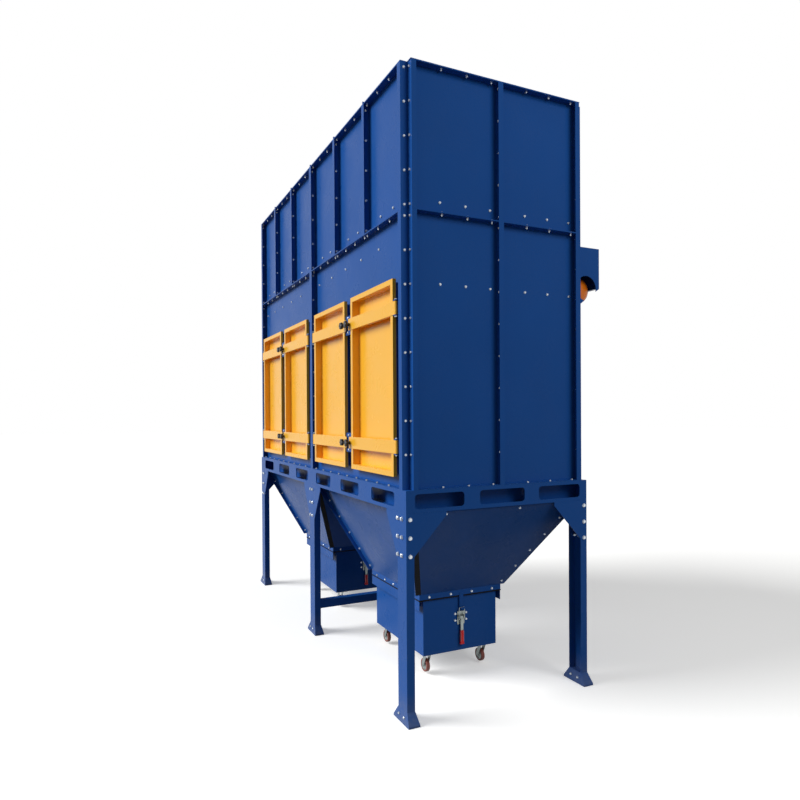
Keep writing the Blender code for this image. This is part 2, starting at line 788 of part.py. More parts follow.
def roof():
    """A sheet notched at its corners like the flanges below, with the panels' upstanding joints."""
    x = (-X_END, -WALL_X, WALL_X, X_END)
    y = (FRONT_Y, FRONT_Y + FLANGE, REAR_Y - FLANGE, REAR_Y)
    outline = [
        (x[1], y[0]),
        (x[2], y[0]),
        (x[2], y[1]),
        (x[3], y[1]),
        (x[3], y[2]),
        (x[2], y[2]),
        (x[2], y[3]),
        (x[1], y[3]),
        (x[1], y[2]),
        (x[0], y[2]),
        (x[0], y[1]),
        (x[1], y[1]),
    ]
    solids = [extruded(outline, ROOF_Z - SHEET, ROOF_Z)]
    half = ROOF_RIB_WIDTH / 2
    for index in range(1, 2 * PANELS_PER_BAY):
        joint = -WALL_X + index * PANEL
        rib = (ROOF_Z - SHEET / 2, ROOF_Z + ROOF_RIB_HEIGHT)
        solids.append(block((joint - half, joint + half), (FRONT_Y, REAR_Y), rib))
    named("roof", "blue_powder_coat", fused(solids))


def filter_banks():
    """In each bay, a flanged tube sheet with the filter cartridges that hang from it."""
    top = JOINT_Z - TUBE_SHEET_DROP
    bottom = top - TUBE_SHEET_FLANGE
    half_x = (WALL_X - SHEET) / 2 - GAP
    half_y = WIDTH / 2 - FLANGE - SHEET - GAP
    solids = []
    for half, other, axes in ((half_x, half_y, "xzy"), (half_y, half_x, "yzx")):
        line = [(half, bottom), (half, top), (-half, top), (-half, bottom)]
        solids.append(extruded(bent(line, TUBE_SHEET), -other, other, axes))
    for column in range(CARTRIDGE_COLUMNS):
        for row in range(CARTRIDGE_ROWS):
            x = (column - (CARTRIDGE_COLUMNS - 1) / 2) * CARTRIDGE_PITCH
            y = (row - (CARTRIDGE_ROWS - 1) / 2) * CARTRIDGE_PITCH
            end = top - TUBE_SHEET - CARTRIDGE_LENGTH
            body = (end, top - TUBE_SHEET / 2)
            solids.append(rod((x, y), CARTRIDGE_RADIUS, *body, segments=ROUND_SIDES))
    mesh = fused(solids)
    for bay_name in BAYS:
        middle = ENDS[bay_name] * (WALL_X - SHEET) / 2
        name = f"filter_bank_{bay_name}"
        named(name, "filter_media", mesh, (middle, MID_Y, 0))


def catch(side):
    """The hooked plate on a hopper's collar that a latch's loop pulls on, on its -X or +X face."""
    face = BIN_LENGTH / 2
    plate_out = MOUTH_LENGTH / 2 - face + SHEET / 2
    hook_z = MOUTH_Z + LOOP_BAR[1] - LOOP_WIRE_RADIUS - SHEET / 2
    line = [
        (plate_out - SHEET, MOUTH_Z + MOUTH_COLLAR / 2),
        (plate_out - SHEET, hook_z - SHEET),
        (plate_out + CATCH_REACH + 2 * SHEET, hook_z - SHEET),
        (plate_out + CATCH_REACH + 2 * SHEET, hook_z + CATCH_LIP),
    ]
    outline = [(side * (face + out), up) for out, up in bent(line, SHEET)]
    return extruded(outline, -CATCH_HALF_WIDTH, CATCH_HALF_WIDTH, "xzy")


def hoppers():
    """Under each bay, a four-sided funnel with a turned-in flange above and a collar below."""
    low_x = HOPPER_END_INSET - BAY / 2
    high_x = X_END - HOPPER_END_INSET - BAY / 2
    half_y = WIDTH / 2 - HOPPER_SIDE_INSET
    top = LEG_HEIGHT - GAP
    neck = MOUTH_Z + MOUTH_COLLAR
    mouth_x = MOUTH_LENGTH / 2
    mouth_y = MOUTH_WIDTH / 2
    outer = (low_x, high_x, -half_y, half_y)
    mouth = (-mouth_x, mouth_x, -mouth_y, mouth_y)
    inner_mouth = (SHEET - mouth_x, mouth_x - SHEET, SHEET - mouth_y, mouth_y - SHEET)
    funnel_wall = 2 * SHEET
    inner_top = (
        low_x + funnel_wall,
        high_x - funnel_wall,
        funnel_wall - half_y,
        half_y - funnel_wall,
    )
    solids = [
        tapered(mouth, outer, neck, top - SHEET),
        block(mouth[:2], mouth[2:], (MOUTH_Z, neck + SHEET)),
        block(outer[:2], outer[2:], (top - 2 * SHEET, top)),
        catch(-1),
        catch(1),
    ]
    flange_x = (low_x + HOPPER_FLANGE, high_x - HOPPER_FLANGE)
    flange_y = (HOPPER_FLANGE - half_y, half_y - HOPPER_FLANGE)
    cutters = [
        tapered(inner_mouth, inner_top, neck, top - SHEET),
        block(inner_mouth[:2], inner_mouth[2:], (MOUTH_Z - SHEET, neck + 2 * SHEET)),
        block(flange_x, flange_y, (top - 2 * SHEET, top + SHEET)),
    ]
    mesh = fused(solids, cutters)
    for bay_name, bay in BAYS.items():
        turn = 0 if bay > 0 else math.pi
        named(f"hopper_{bay_name}", "blue_powder_coat", mesh, (bay, MID_Y, 0), turn)


def latch_base(side):
    """The plate, ears and pin that carry a toggle latch on a bin's -X or +X face."""
    face = BIN_LENGTH / 2
    pivot_x, pivot_z = LATCH_PIVOT
    pivot_z += MOUTH_Z
    low = pivot_z + LATCH_EAR_HALF_HEIGHT + LOOP_BAR[0] - LATCH_BASE_HEIGHT
    wide = (-LATCH_BASE_HALF_WIDTH, LATCH_BASE_HALF_WIDTH)
    solids = []

    def outward(near, far):
        return sorted((side * (face + near), side * (face + far)))

    solids.append(block(outward(-SHEET / 2, SHEET), wide, (low, low + LATCH_BASE_HEIGHT)))
    for y in (LATCH_EAR_Y, -LATCH_EAR_Y - SHEET):
        high = (pivot_z - LATCH_EAR_HALF_HEIGHT, pivot_z + LATCH_EAR_HALF_HEIGHT)
        reach = outward(-SHEET / 2, pivot_x + LATCH_EAR_REACH)
        solids.append(block(reach, (y, y + SHEET), high))
    pin = LATCH_EAR_Y + SHEET + LAP
    centre = (side * (face + pivot_x), pivot_z)
    solids.append(rod(centre, LATCH_PIN_RADIUS, -pin, pin, axis="y"))
    return solids


def castor_places():
    """The four castors of a bin, from its middle."""
    x = BIN_LENGTH / 2 - CASTOR_INSET
    y = BIN_WIDTH / 2 - CASTOR_INSET
    return [(side_x * x, side_y * y) for side_x in (1, -1) for side_y in (-1, 1)]


def bin_mesh():
    """An open box with a flat rim, hanging skirts, castor plates and the latches' carriers."""
    half_x = BIN_LENGTH / 2
    half_y = BIN_WIDTH / 2
    rim_x = half_x + RIM_OVERHANG
    rim_y = MOUTH_WIDTH / 2
    rim = (BIN_TOP - SHEET, BIN_TOP)
    solids = [
        block((-half_x, half_x), (-half_y, half_y), (BIN_FLOOR, BIN_TOP)),
        block((-rim_x, rim_x), (-rim_y, rim_y), rim),
    ]
    inside_x = half_x - SHEET
    inside_y = half_y - SHEET
    depth = (BIN_FLOOR + SHEET, BIN_TOP + SHEET)
    cutters = [block((-inside_x, inside_x), (-inside_y, inside_y), depth)]
    for low in (-rim_y, rim_y - SHEET):
        solids.append(block((-rim_x, rim_x), (low, low + SHEET), (BIN_TOP - SKIRT_DROP, BIN_TOP)))
    plate = (BIN_FLOOR - CASTOR_PLATE, BIN_FLOOR + SHEET / 2)
    half_plate = CASTOR_PLATE_SIZE / 2
    for x, y in castor_places():
        around = (x - half_plate, x + half_plate), (y - half_plate, y + half_plate)
        solids.append(block(*around, plate))
        bore = (plate[0] - SHEET, BIN_FLOOR)
        cutters.append(rod((x, y), STUB_RADIUS + STUB_CLEARANCE, *bore))
    solids += latch_base(-1) + latch_base(1)
    return fused(solids, cutters)


def fork_mesh():
    """A castor's stub, crown, cheeks and axle. Its origin is on the swivel axis, at the plate."""
    crown_top = -CASTOR_PLATE - CROWN_GAP
    crown = (crown_top - CROWN_THICKNESS, crown_top)
    solids = [
        rod((0, 0), CROWN_RADIUS, *crown),
        rod((0, 0), STUB_RADIUS, crown[0], -2 * CROWN_GAP, segments=AXLE_SIDES),
    ]
    inner = CHEEK_GAP / 2
    boss = FORK_EYE_RADIUS
    spread = FORK_HALF_LENGTH
    outline = [
        (-spread, crown[0] + SHEET),
        (-TRAIL - boss, -AXLE_DROP),
        (-TRAIL - boss / 2, -AXLE_DROP - boss),
        (-TRAIL + boss / 2, -AXLE_DROP - boss),
        (-TRAIL + boss, -AXLE_DROP),
        (spread, crown[0] + SHEET),
    ]
    for low in (inner, -inner - CHEEK_THICKNESS):
        solids.append(extruded(outline, low, low + CHEEK_THICKNESS, "xzy"))
    end = inner + CHEEK_THICKNESS + LAP
    axle = (-TRAIL, -AXLE_DROP)
    solids.append(rod(axle, AXLE_RADIUS, -end, end, axis="y", segments=AXLE_SIDES))
    bridge = inner + CHEEK_THICKNESS
    solids.append(block((-spread, spread), (-bridge, bridge), (crown[0], crown[1] - SHEET)))
    return fused(solids)


def wheel_mesh():
    """A bored wheel with rounded edges, turned about Y."""
    half = WHEEL_WIDTH / 2
    shoulder = half - WHEEL_ROUND
    bore = AXLE_RADIUS + BORE_CLEARANCE
    profile = [
        (bore, half),
        (WHEEL_RADIUS - WHEEL_ROUND, half),
        (WHEEL_RADIUS, shoulder),
        (WHEEL_RADIUS, -shoulder),
        (WHEEL_RADIUS - WHEEL_ROUND, -half),
        (bore, -half),
    ]
    return fused([turned(profile, ROUND_SIDES, "xzy")])


def lever_mesh():
    """A latch's lever: an arm with two bosses and a grip. Its origin is on the bin's pin."""
    half = LEVER_WIDTH / 2
    pivot_x, pivot_z = LATCH_PIVOT
    loop = (LOOP_PIVOT[0] - pivot_x, LOOP_PIVOT[1] - pivot_z)
    grip_top = GRIP_TOP - pivot_z
    grip_x = (loop[0] - GRIP_THICKNESS / 2, loop[0] + GRIP_THICKNESS / 2)
    grip = block(
        grip_x, (-GRIP_WIDTH / 2, GRIP_WIDTH / 2), (grip_top - GRIP_LENGTH, grip_top)
    )
    solids = [
        block((0, LEVER_THICKNESS), (-half, half), (grip_top - LEVER_WIDTH, 0)),
        rod((0, 0), LATCH_BOSS_RADIUS, -half, half, axis="y"),
        rod(loop, LATCH_BOSS_RADIUS, -half, half, axis="y"),
        grip,
    ]
    wide = half + SHEET
    cutters = [
        rod((0, 0), LATCH_PIN_RADIUS + LOOP_CLEARANCE, -wide, wide, axis="y"),
        rod(loop, LOOP_WIRE_RADIUS + LOOP_CLEARANCE, -wide, wide, axis="y"),
    ]
    return fused(solids, cutters)


def loop_mesh():
    """A latch's wire loop, with round corners. Its origin is on the lever's lower boss."""
    lean = LOOP_BAR[0] - LOOP_PIVOT[0]
    height = LOOP_BAR[1] - LOOP_PIVOT[1]
    flat = rounded_rectangle((0, height / 2), 2 * LOOP_HALF_WIDTH, height, LOOP_CORNER)
    points = [(lean * up / height, y, up) for y, up in flat]
    return fused([wire(points, LOOP_WIRE_RADIUS)])


def bins():
    """A bin under each hopper, with four castors and two latches."""
    bin_shape = bin_mesh()
    fork_shape = fork_mesh()
    wheel_shape = wheel_mesh()
    lever_shape = lever_mesh()
    loop_shape = loop_mesh()
    for bay_name, bay in BAYS.items():
        middle = Vector((bay, MID_Y, 0))
        dust_bin = named(f"dust_bin_{bay_name}", "blue_powder_coat", bin_shape, middle)
        for number, (x, y) in enumerate(castor_places(), 1):
            place = middle + Vector((x, y, BIN_FLOOR))
            tag = f"{bay_name}_{number}"
            fork = named(f"castor_fork_{tag}", "galvanised_steel", fork_shape, place)
            axle = place + Vector((-TRAIL, 0, -AXLE_DROP))
            wheel = named(f"castor_wheel_{tag}", "castor_tread", wheel_shape, axle)
            under(wheel, fork)
            under(fork, dust_bin)
        for end_name, end in ENDS.items():
            turn = 0 if end > 0 else math.pi
            tag = f"{bay_name}_{'outer' if end_name == bay_name else 'inner'}"
            out, up = LATCH_PIVOT
            place = middle + Vector((end * (BIN_LENGTH / 2 + out), 0, MOUTH_Z + up))
            lever = named(f"latch_lever_{tag}", "galvanised_steel", lever_shape, place, turn)
            out, up = LOOP_PIVOT
            place = middle + Vector((end * (BIN_LENGTH / 2 + out), 0, MOUTH_Z + up))
            loop = named(f"latch_loop_{tag}", "galvanised_steel", loop_shape, place, turn)
            under(loop, lever)
            under(lever, dust_bin)


def air_header():
    """The closed compressed-air pipe that lies along the rear wall."""
    centre = (REAR_Y + HEADER_OUT, HEADER_Z)
    half = X_END - HEADER_INSET
    pipe = rod(centre, HEADER_RADIUS, -half, half, axis="x", segments=LARGE_SIDES)
    named("air_header", "orange_powder_coat", fused([pipe]))


def header_cover():
    """A folded cover over the header, closed at both ends, with cradles that hold the pipe."""
    wall = REAR_Y + GAP
    out = REAR_Y + COVER_REACH
    top = JOINT_Z - COVER_DROP
    bottom = top - COVER_HEIGHT
    half = X_END - COVER_INSET
    line = [(wall, top), (out, top), (out, bottom), (out - COVER_LIP, bottom)]
    outline = bent(line[::-1], SHEET)
    solids = [extruded(outline, -half, half, "yzx")]
    wall_foot = [(wall, bottom - CRADLE_BELOW), (wall, top), (out, top), (out, bottom)]
    cheek = wall_foot + [(HEADER_RADIUS / 2 + wall, bottom - CRADLE_BELOW)]
    ends = (-half, half - SHEET)
    cradle = X_END - CRADLE_INSET
    for low in (*ends, -cradle, -SHEET / 2, cradle - SHEET):
        solids.append(extruded(cheek, low, low + SHEET, "yzx"))
    centre = (REAR_Y + HEADER_OUT, HEADER_Z)
    hole = rod(
        centre, HEADER_RADIUS + GAP, -LENGTH, LENGTH, axis="x", segments=LARGE_SIDES
    )
    named("header_cover", "blue_powder_coat", fused(solids, [hole]))


def main():
    clear_scene()
    base_frame()
    for row, frame in (("front", FRONT), ("rear", REAR)):
        for end_name, side in ENDS.items():
            corner_leg(f"leg_{row}_{end_name}", frame, side)
    middle_leg_frame()
    long_walls()
    end_walls()
    for bay_name in BAYS:
        door_wall(bay_name)
    doors_and_knobs()
    roof()
    filter_banks()
    hoppers()
    bins()
    air_header()
    header_cover()
    bpy.data.collections.remove(bpy.data.collections["cutters"])


main()
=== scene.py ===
"""Cartridge dust collector: finishes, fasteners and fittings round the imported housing."""

import math
from itertools import product

import bmesh
import bpy
from bpy.props import FloatProperty, FloatVectorProperty, IntProperty, PointerProperty
from mathutils import Matrix, Vector


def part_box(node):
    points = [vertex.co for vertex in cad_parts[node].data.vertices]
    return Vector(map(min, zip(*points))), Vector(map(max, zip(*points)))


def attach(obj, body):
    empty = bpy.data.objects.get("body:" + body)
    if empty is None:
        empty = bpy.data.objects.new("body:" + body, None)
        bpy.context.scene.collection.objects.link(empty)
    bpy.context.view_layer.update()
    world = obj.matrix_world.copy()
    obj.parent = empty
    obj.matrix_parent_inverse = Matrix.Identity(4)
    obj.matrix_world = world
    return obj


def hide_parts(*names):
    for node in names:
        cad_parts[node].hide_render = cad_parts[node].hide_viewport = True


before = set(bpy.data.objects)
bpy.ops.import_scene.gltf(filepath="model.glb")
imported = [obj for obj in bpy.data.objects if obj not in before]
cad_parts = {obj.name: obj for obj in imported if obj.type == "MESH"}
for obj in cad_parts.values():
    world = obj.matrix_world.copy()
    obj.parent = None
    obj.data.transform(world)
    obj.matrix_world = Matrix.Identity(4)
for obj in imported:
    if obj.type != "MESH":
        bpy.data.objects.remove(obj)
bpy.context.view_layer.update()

bl_info = {
    "name": "Cartridge dust collector",
    "version": (1, 0, 0),
    "blender": (4, 5, 0),
    "location": "View3D > Sidebar > Dust collector",
    "description": "Finishes, fasteners and fittings of a bolted sheet dust collector",
    "category": "Object",
}

# Sheet work of the housing
SHEET = 0.003
FLANGE = 0.040
GAP = 0.0003
LAP = 0.001
PANELS_PER_BAY = 3

# Places read from the frame
X_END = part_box("base_frame")[1].x
FRONT_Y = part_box("base_frame")[0].y
REAR_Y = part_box("base_frame")[1].y
FRAME_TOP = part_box("base_frame")[1].z
JOINT_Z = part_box("rear_wall_lower")[1].z
ROOF_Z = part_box("rear_wall_upper")[1].z + GAP + SHEET
LEG_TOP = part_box("leg_front_near")[1].z
MID_Y = (FRONT_Y + REAR_Y) / 2
WALL_X = X_END - FLANGE
BAY_MIDDLE = WALL_X / 2
PANEL = WALL_X / PANELS_PER_BAY
END_LOW = FRONT_Y + FLANGE + SHEET + GAP
END_HIGH = REAR_Y - FLANGE - SHEET - GAP

# Each wall's own frame: along the wall, outwards and up
FRONT = Matrix(((1, 0, 0, 0), (0, -1, 0, FRONT_Y + FLANGE), (0, 0, 1, 0), (0, 0, 0, 1)))
REAR = Matrix(((1, 0, 0, 0), (0, 1, 0, REAR_Y - FLANGE), (0, 0, 1, 0), (0, 0, 0, 1)))
NEAR = Matrix(((0, 1, 0, WALL_X), (1, 0, 0, 0), (0, 0, 1, 0), (0, 0, 0, 1)))
FAR = Matrix(((0, -1, 0, -WALL_X), (1, 0, 0, 0), (0, 0, 1, 0), (0, 0, 0, 1)))

# Rows of bolts
COLUMN_TOP = 0.033
COLUMN_PITCH = 0.1725
UPPER_ROWS = 5
LOWER_TOP = 0.030
LOWER_ROWS = 8
FLANGE_MIDDLE = 0.020
PANEL_BOLTS = (-0.2195, -0.0732, 0.0732, 0.2195)
END_BOLTS = (-0.2520, -0.0880, 0.0675, 0.2230)
SILL_PITCH = 0.149
SILL_COUNT = 10
FACE_PITCH = 0.250
FACE_SHIFT = -0.1275
FACE_COUNT = 5
FACE_DROP = 0.112
END_FACE_RISE = 0.063
END_FACE_DROP = 0.359
PANEL_FACE_BOLTS = (-0.0777, 0.0777)

# Leg and foot bolts
LEG_WALL = 0.005
LEG_BOLT_DROPS = (0.030, 0.123, 0.215)
LEG_BOLT_INSETS = (0.045, 0.089)
END_BOLT_INSET = 0.018
MIDDLE_BOLT_OFFSET = 0.022
LEG_MIDDLE = 0.049
FOOT_BOLT_OFFSET = 0.055
FOOT_BOLT_Z = 0.034
FOOT_BOLT_OUT = 0.0458
FOOT_BOLT_BACK = -0.0108
FRAME_WALL = 0.005
FRAME_FLANGE = 0.085
FOOT_SLOPE = math.radians(10)

# Hoppers and bins
HOPPER_TOP = LEG_TOP - SHEET
MOUTH_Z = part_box("dust_bin_near")[1].z + GAP
HOPPER_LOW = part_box("hopper_near")[0].x
HOPPER_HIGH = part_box("hopper_near")[1].x
HOPPER_HALF_WIDTH = (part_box("hopper_near")[1].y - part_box("hopper_near")[0].y) / 2
MOUTH_HALF_LENGTH = 0.3375
MOUTH_HALF_WIDTH = 0.285
COLLAR = 0.035
SEAM_BOLT_ROWS = (0.065, 0.170, 0.275, 0.380, 0.485)
HOPPER_TOP_DROP = 0.014
HOPPER_TOP_BOLTS = (-0.340, 0.128)
SEAM_INSET = 0.022
SEAM_WIDTH = 0.026
MOUTH_END_BOLTS = (-0.2205, -0.0735, 0.0735, 0.2205)
MOUTH_SIDE_BOLTS = (-0.250, -0.125, 0.0, 0.125, 0.250)
BIN_HALF_LENGTH = 0.3275
BIN_HALF_WIDTH = 0.255
BIN_FLOOR = 0.140
CASTOR_INSET = 0.060
CASTOR_BOLT = 0.033
CASTOR_PLATE = 0.005
# Black strips of painted shade over the hoppers' front seams
STRIP_THICKNESS = 0.002
STRIP_LAP = 0.010
STRIP_END = 0.004
LATCH_PLATE = 0.0012
LATCH_SKIN = 0.0008
LATCH_BASE_HALF_WIDTH = 0.025
LATCH_BASE_HALF_HEIGHT = 0.039
LATCH_BASE_ROUND = 0.004
LATCH_BASE_Z = 0.3353
LATCH_EAR_Y = 0.0135
LATCH_EAR_HALF = 0.0015
LATCH_EAR_HALF_HEIGHT = 0.008
LATCH_EAR_REACH = 0.021
LATCH_PIN_Z = 0.345
LATCH_SCREW_OFFSET = 0.038
LATCH_SCREWS = (0.362, 0.322)

# Doors
STRAP_LEVELS = (1.391, 2.105)
STRAP_HALF = 0.036
HINGE_OFFSET = 0.6565
HINGE_OUT = 0.040
EAR = 0.005
CLAMP_OUT = 0.0375
CLAMP_BOLT = 0.044
STUD_LENGTH = 0.0183
COLLAR_OUT = 0.020
DOOR_FACE = 0.045
DOOR_SPACE = 0.050
DOOR_WIDTH = 0.5785
COLLAR_INSET = 0.0165

# Heads, as shares of the width across flats or of the head's height
HEAD_CORNER = 0.5774
HEAD_CROWN = 0.46
HEAD_CHAMFER = 0.2
THREAD_SHARE = 0.3

# Each fastener's head height, washer thickness and length of thread past the nut
SHEET_HEAD = (0.0053, 0.0016, 0)
SHEET_NUT = (0.0065, 0.0016, 0.004)
LEG_HEAD = (0.0075, 0.0025, 0)
LEG_NUT = (0.0100, 0.0025, 0.006)
PIN_HEAD = (0.0055, 0.0012, 0)
PIN_FLATS = 0.0135
PIN_WASHER = 0.0078

# Star knob's rings: radius, height and how much of the hollows they show
KNOB_NECK = ((0.0095, 0.0, 0), (0.0100, 0.0006, 0), (0.0105, 0.0120, 0), (0.0135, 0.0152, 0.3))
KNOB_CROWN = ((0.0085, 0.0334, 0), (0.0078, 0.0322, 0), (0.0015, 0.0322, 0))
# The same for its lobes, with how far each ring lies inside the lobes' full radius
KNOB_LOBES = (
    (0.0045, 0.0160, 0.9),
    (0.0012, 0.0172, 1),
    (0, 0.0200, 1),
    (0, 0.0285, 1),
    (0.0010, 0.0312, 1),
    (0.0040, 0.0330, 1),
    (0.0085, 0.0337, 0.6),
)
KNOB_STEPS = 12
# The stud's rings as height and radius, and its washer's section as radius and height
STUD = ((-0.0183, 0.0030), (-0.0173, 0.0040), (0.0002, 0.0040))
STUD_WASHER = ((0.0041, 0), (0.0088, 0), (0.0088, 0.0010), (0.0041, 0.0010))

# Castor wheel's sections: how far in from the radius, and from the side face
TYRE_FOOT = 0.0012
TYRE_TREAD = ((0.0035, 0.0004), (0.0012, 0.0022), (0.0002, 0.0055), (0, 0.0085))
CORE_RIM = ((0.0040, 0.0052), (0.0022, 0.0022), (-0.0004, 0.0018))
# The hub's radius, and how far in from the side face
CORE_HUB = ((0.0046, 0), (0.0095, 0), (0.0102, 0.0012), (0.0106, 0.0040))

# Latch grip's rings: height, half width in X, half width in Y and corner radius
GRIP_RINGS = (
    (0.0805, 0.0062, 0.0096, 0.0040),
    (0.0800, 0.0072, 0.0112, 0.0050),
    (0.0740, 0.0073, 0.0118, 0.0052),
    (0.0480, 0.0073, 0.0116, 0.0052),
    (0.0200, 0.0073, 0.0118, 0.0052),
    (0.0080, 0.0075, 0.0136, 0.0054),
    (0.0020, 0.0076, 0.0150, 0.0055),
    (0.0000, 0.0072, 0.0146, 0.0050),
    (-0.0010, 0.0056, 0.0126, 0.0040),
)
GRIP_INSET = 0.006
GRIP_STEPS = 32

# Foam seals
SEAL_ROUND = 0.001
SEAL_BULGE = 0.0012
SEAL_STEPS = 6

# Cartridges and their end caps: radius, and how far down from the cap's full height
CARTRIDGE_COLUMNS = 4
CARTRIDGE_ROWS = 3
CARTRIDGE_PITCH = 0.350
CARTRIDGE_RADIUS = 0.1600
CARTRIDGE_LAP = 0.002
TUBE_SHEET = 0.004
CAP_OUTSIDE = ((0.0030, 0.004), (0.1200, 0.004), (0.1260, 0), (0.1600, 0), (0.1622, 0.002))
CAP_RIM = ((0.1622, 0), (0.1610, 0))
CAP_INSIDE = ((0.1610, 0.006), (0.0030, 0.006))

# Dished ends of the header: rings as shares of its radius
DISH_RINGS = (1.0, 0.985, 0.93, 0.80, 0.62, 0.42, 0.22, 0.05)
DISH_DEPTH = 0.028
DISH_LAP = 0.004
DISH_STEPS = 40

# Steps round the turned pieces, and sides of the bolts' heads
STUD_STEPS = 20
STUD_WASHER_STEPS = 24
TYRE_STEPS = 56
CORE_STEPS = 40
CAP_STEPS = 40
HEAD_SIDES = 6
WASHER_STEPS = 16
THREAD_STEPS = 10
SPIN_SEED = 11

# Coats
DUST_HEIGHT = 0.16
DUST_COLOUR = "8E8C86"
RIPPLE_DEPTH = 0.0006

# Camera, fitted to the photograph, lights and floor, with angles in degrees
CAMERA_PLACE = (4.1838, -2.0581, 1.5478)
CAMERA_TURN = (89.669, 0.347, 65.708)
CAMERA_SHIFT = (0.0323, 0.0251)
SENSOR = 36
VIEW_DEPTH = 200
KEY_WAY = (-0.30, -0.78, 0.55)
KEY_SOFTNESS = 32
FILL_PLACE = (6.0, 1.6, 5.0)
FILL_WAY = (4.5, 1.6, 2.8)
FILL_SIZE = 3.0
FLOOR_REACH = 60
FLOOR_GLOW = 0.36

WAYS = (1, -1)
CORNERS = ((-1, -1), (1, -1), (1, 1), (-1, 1))
BAYS = (("near", BAY_MIDDLE), ("far", -BAY_MIDDLE))
BLUE_NODES = ("base", "leg", "middle", "front", "rear", "near", "far", "roof")
BLUE_NODES += ("hopper", "dust", "header")


def linear(code):
    """An sRGB hex colour as linear red, green and blue."""
    values = [int(code[index : index + 2], 16) / 255 for index in (0, 2, 4)]
    return tuple(v / 12.92 if v <= 0.04045 else ((v + 0.055) / 1.055) ** 2.4 for v in values)


def add_node(tree, kind, inputs=None, **settings):
    """Adds a node. Inputs are values or sockets to link, by name or number."""
    made = tree.nodes.new(kind)
    for name, value in settings.items():
        setattr(made, name, value)
    for key, value in (inputs or {}).items():
        if isinstance(value, bpy.types.NodeSocket):
            tree.links.new(value, made.inputs[key])
        else:
            made.inputs[key].default_value = value
    return made


def maths(tree, operation, first, second):
    """The result of one operation on two numbers or sockets."""
    return add_node(tree, "ShaderNodeMath", {0: first, 1: second}, operation=operation).outputs[0]


def new_material(name):
    """An empty material, its node tree and the object's own coordinates."""
    material = bpy.data.materials.new(name)
    material.use_nodes = True
    tree = material.node_tree
    tree.nodes.clear()
    return material, tree, add_node(tree, "ShaderNodeTexCoord").outputs["Object"]


def noise(tree, place, scale, detail, **more):
    """A cloudy pattern with about as many patches to the metre as its scale."""
    inputs = {"Vector": place, "Scale": scale, "Detail": detail, **more}
    return add_node(tree, "ShaderNodeTexNoise", inputs).outputs["Fac"]


def ranged(tree, value, start, end, low, high):
    """A value moved from the range start to end into the range low to high."""
    inputs = {"Value": value, "From Min": start, "From Max": end, "To Min": low, "To Max": high}
    return add_node(tree, "ShaderNodeMapRange", inputs).outputs["Result"]


def blended(tree, share, low, high):
    """A colour between two others."""
    inputs = {0: share, 6: low, 7: high}
    return add_node(tree, "ShaderNodeMix", inputs, data_type="RGBA").outputs[2]


def bumped(tree, height, strength, depth):
    """The surface's direction, disturbed by a pattern."""
    inputs = {"Height": height, "Strength": strength, "Distance": depth}
    return add_node(tree, "ShaderNodeBump", inputs).outputs["Normal"]


def surfaced(tree, inputs):
    """The surface that a material shows."""
    surface = add_node(tree, "ShaderNodeBsdfPrincipled", inputs)
    add_node(tree, "ShaderNodeOutputMaterial", {"Surface": surface.outputs["BSDF"]})


def shade(value, factor):
    """A colour made lighter or darker, with alpha."""
    return (*[min(part * factor, 1) for part in value], 1)


def length(name, description, default):
    """A length that the panel shows."""
    return FloatProperty(name=name, description=description, subtype="DISTANCE", default=default)


def tint(name, description, code):
    """A colour that the panel shows."""
    return FloatVectorProperty(
        name=name, description=description, subtype="COLOR", default=linear(code)
    )


class FinishSettings(bpy.types.PropertyGroup):
    """Colours and textures of the coats."""

    blue: tint("Blue", "Colour of the housing's powder coat", "2055A0")
    yellow: tint("Door yellow", "Colour of the doors' powder coat", "FDBC34")
    orange: tint("Header orange", "Colour of the compressed-air header", "EE7A12")
    tread: tint("Tread", "Colour of the castors' tyres", "8A4A40")
    grip: tint("Grip red", "Colour of the latch levers' dipped grips", "FA0E1C")
    peel: length(
        "Orange peel", "Spacing of the coat's ripples, drawn coarser than the real 2 mm to show", 0.009
    )


class FastenerSettings(bpy.types.PropertyGroup):
    """Sizes of the bolts, nuts and washers."""

    sheet_flats: length(
        "Sheet bolt flats", "Width across flats of the bolts that join the sheet panels", 0.011
    )
    sheet_washer: length("Sheet washer", "Radius of the washers under the sheet bolts", 0.007)
    leg_flats: length("Leg bolt flats", "Width across flats of the bolts that hold the legs", 0.0165)
    leg_washer: length("Leg washer", "Radius of the washers under the leg bolts", 0.0108)


class KnobSettings(bpy.types.PropertyGroup):
    """Shape of the star knobs."""

    radius: length("Radius", "Radius over the knob's lobes", 0.0225)
    waist: FloatProperty(
        name="Waist",
        description="How far the hollows cut in, as a share of the radius",
        subtype="FACTOR",
        default=0.30,
    )
    lobes: IntProperty(name="Lobes", description="Lobes round the knob", default=6)


class CastorSettings(bpy.types.PropertyGroup):
    """Shape of the castor wheels."""

    tyre_depth: length("Tyre depth", "Thickness of the moulded tyre round its steel core", 0.0115)


class FilterSettings(bpy.types.PropertyGroup):
    """Shape of the pleated cartridges."""

    pleats: IntProperty(name="Pleats", description="Pleats round a cartridge", default=72)
    pleat_depth: length("Pleat depth", "Depth of a pleat", 0.022)
    cap_height: length("Cap height", "Height of a cartridge's pressed end cap", 0.020)


class SealSettings(bpy.types.PropertyGroup):
    """Sizes of the foam seals."""

    width: length("Width", "Width of the foam strip in a door's channel", 0.012)
    bin_thickness: length("Bin seal", "Height of the foam strip between a hopper and its bin", 0.008)


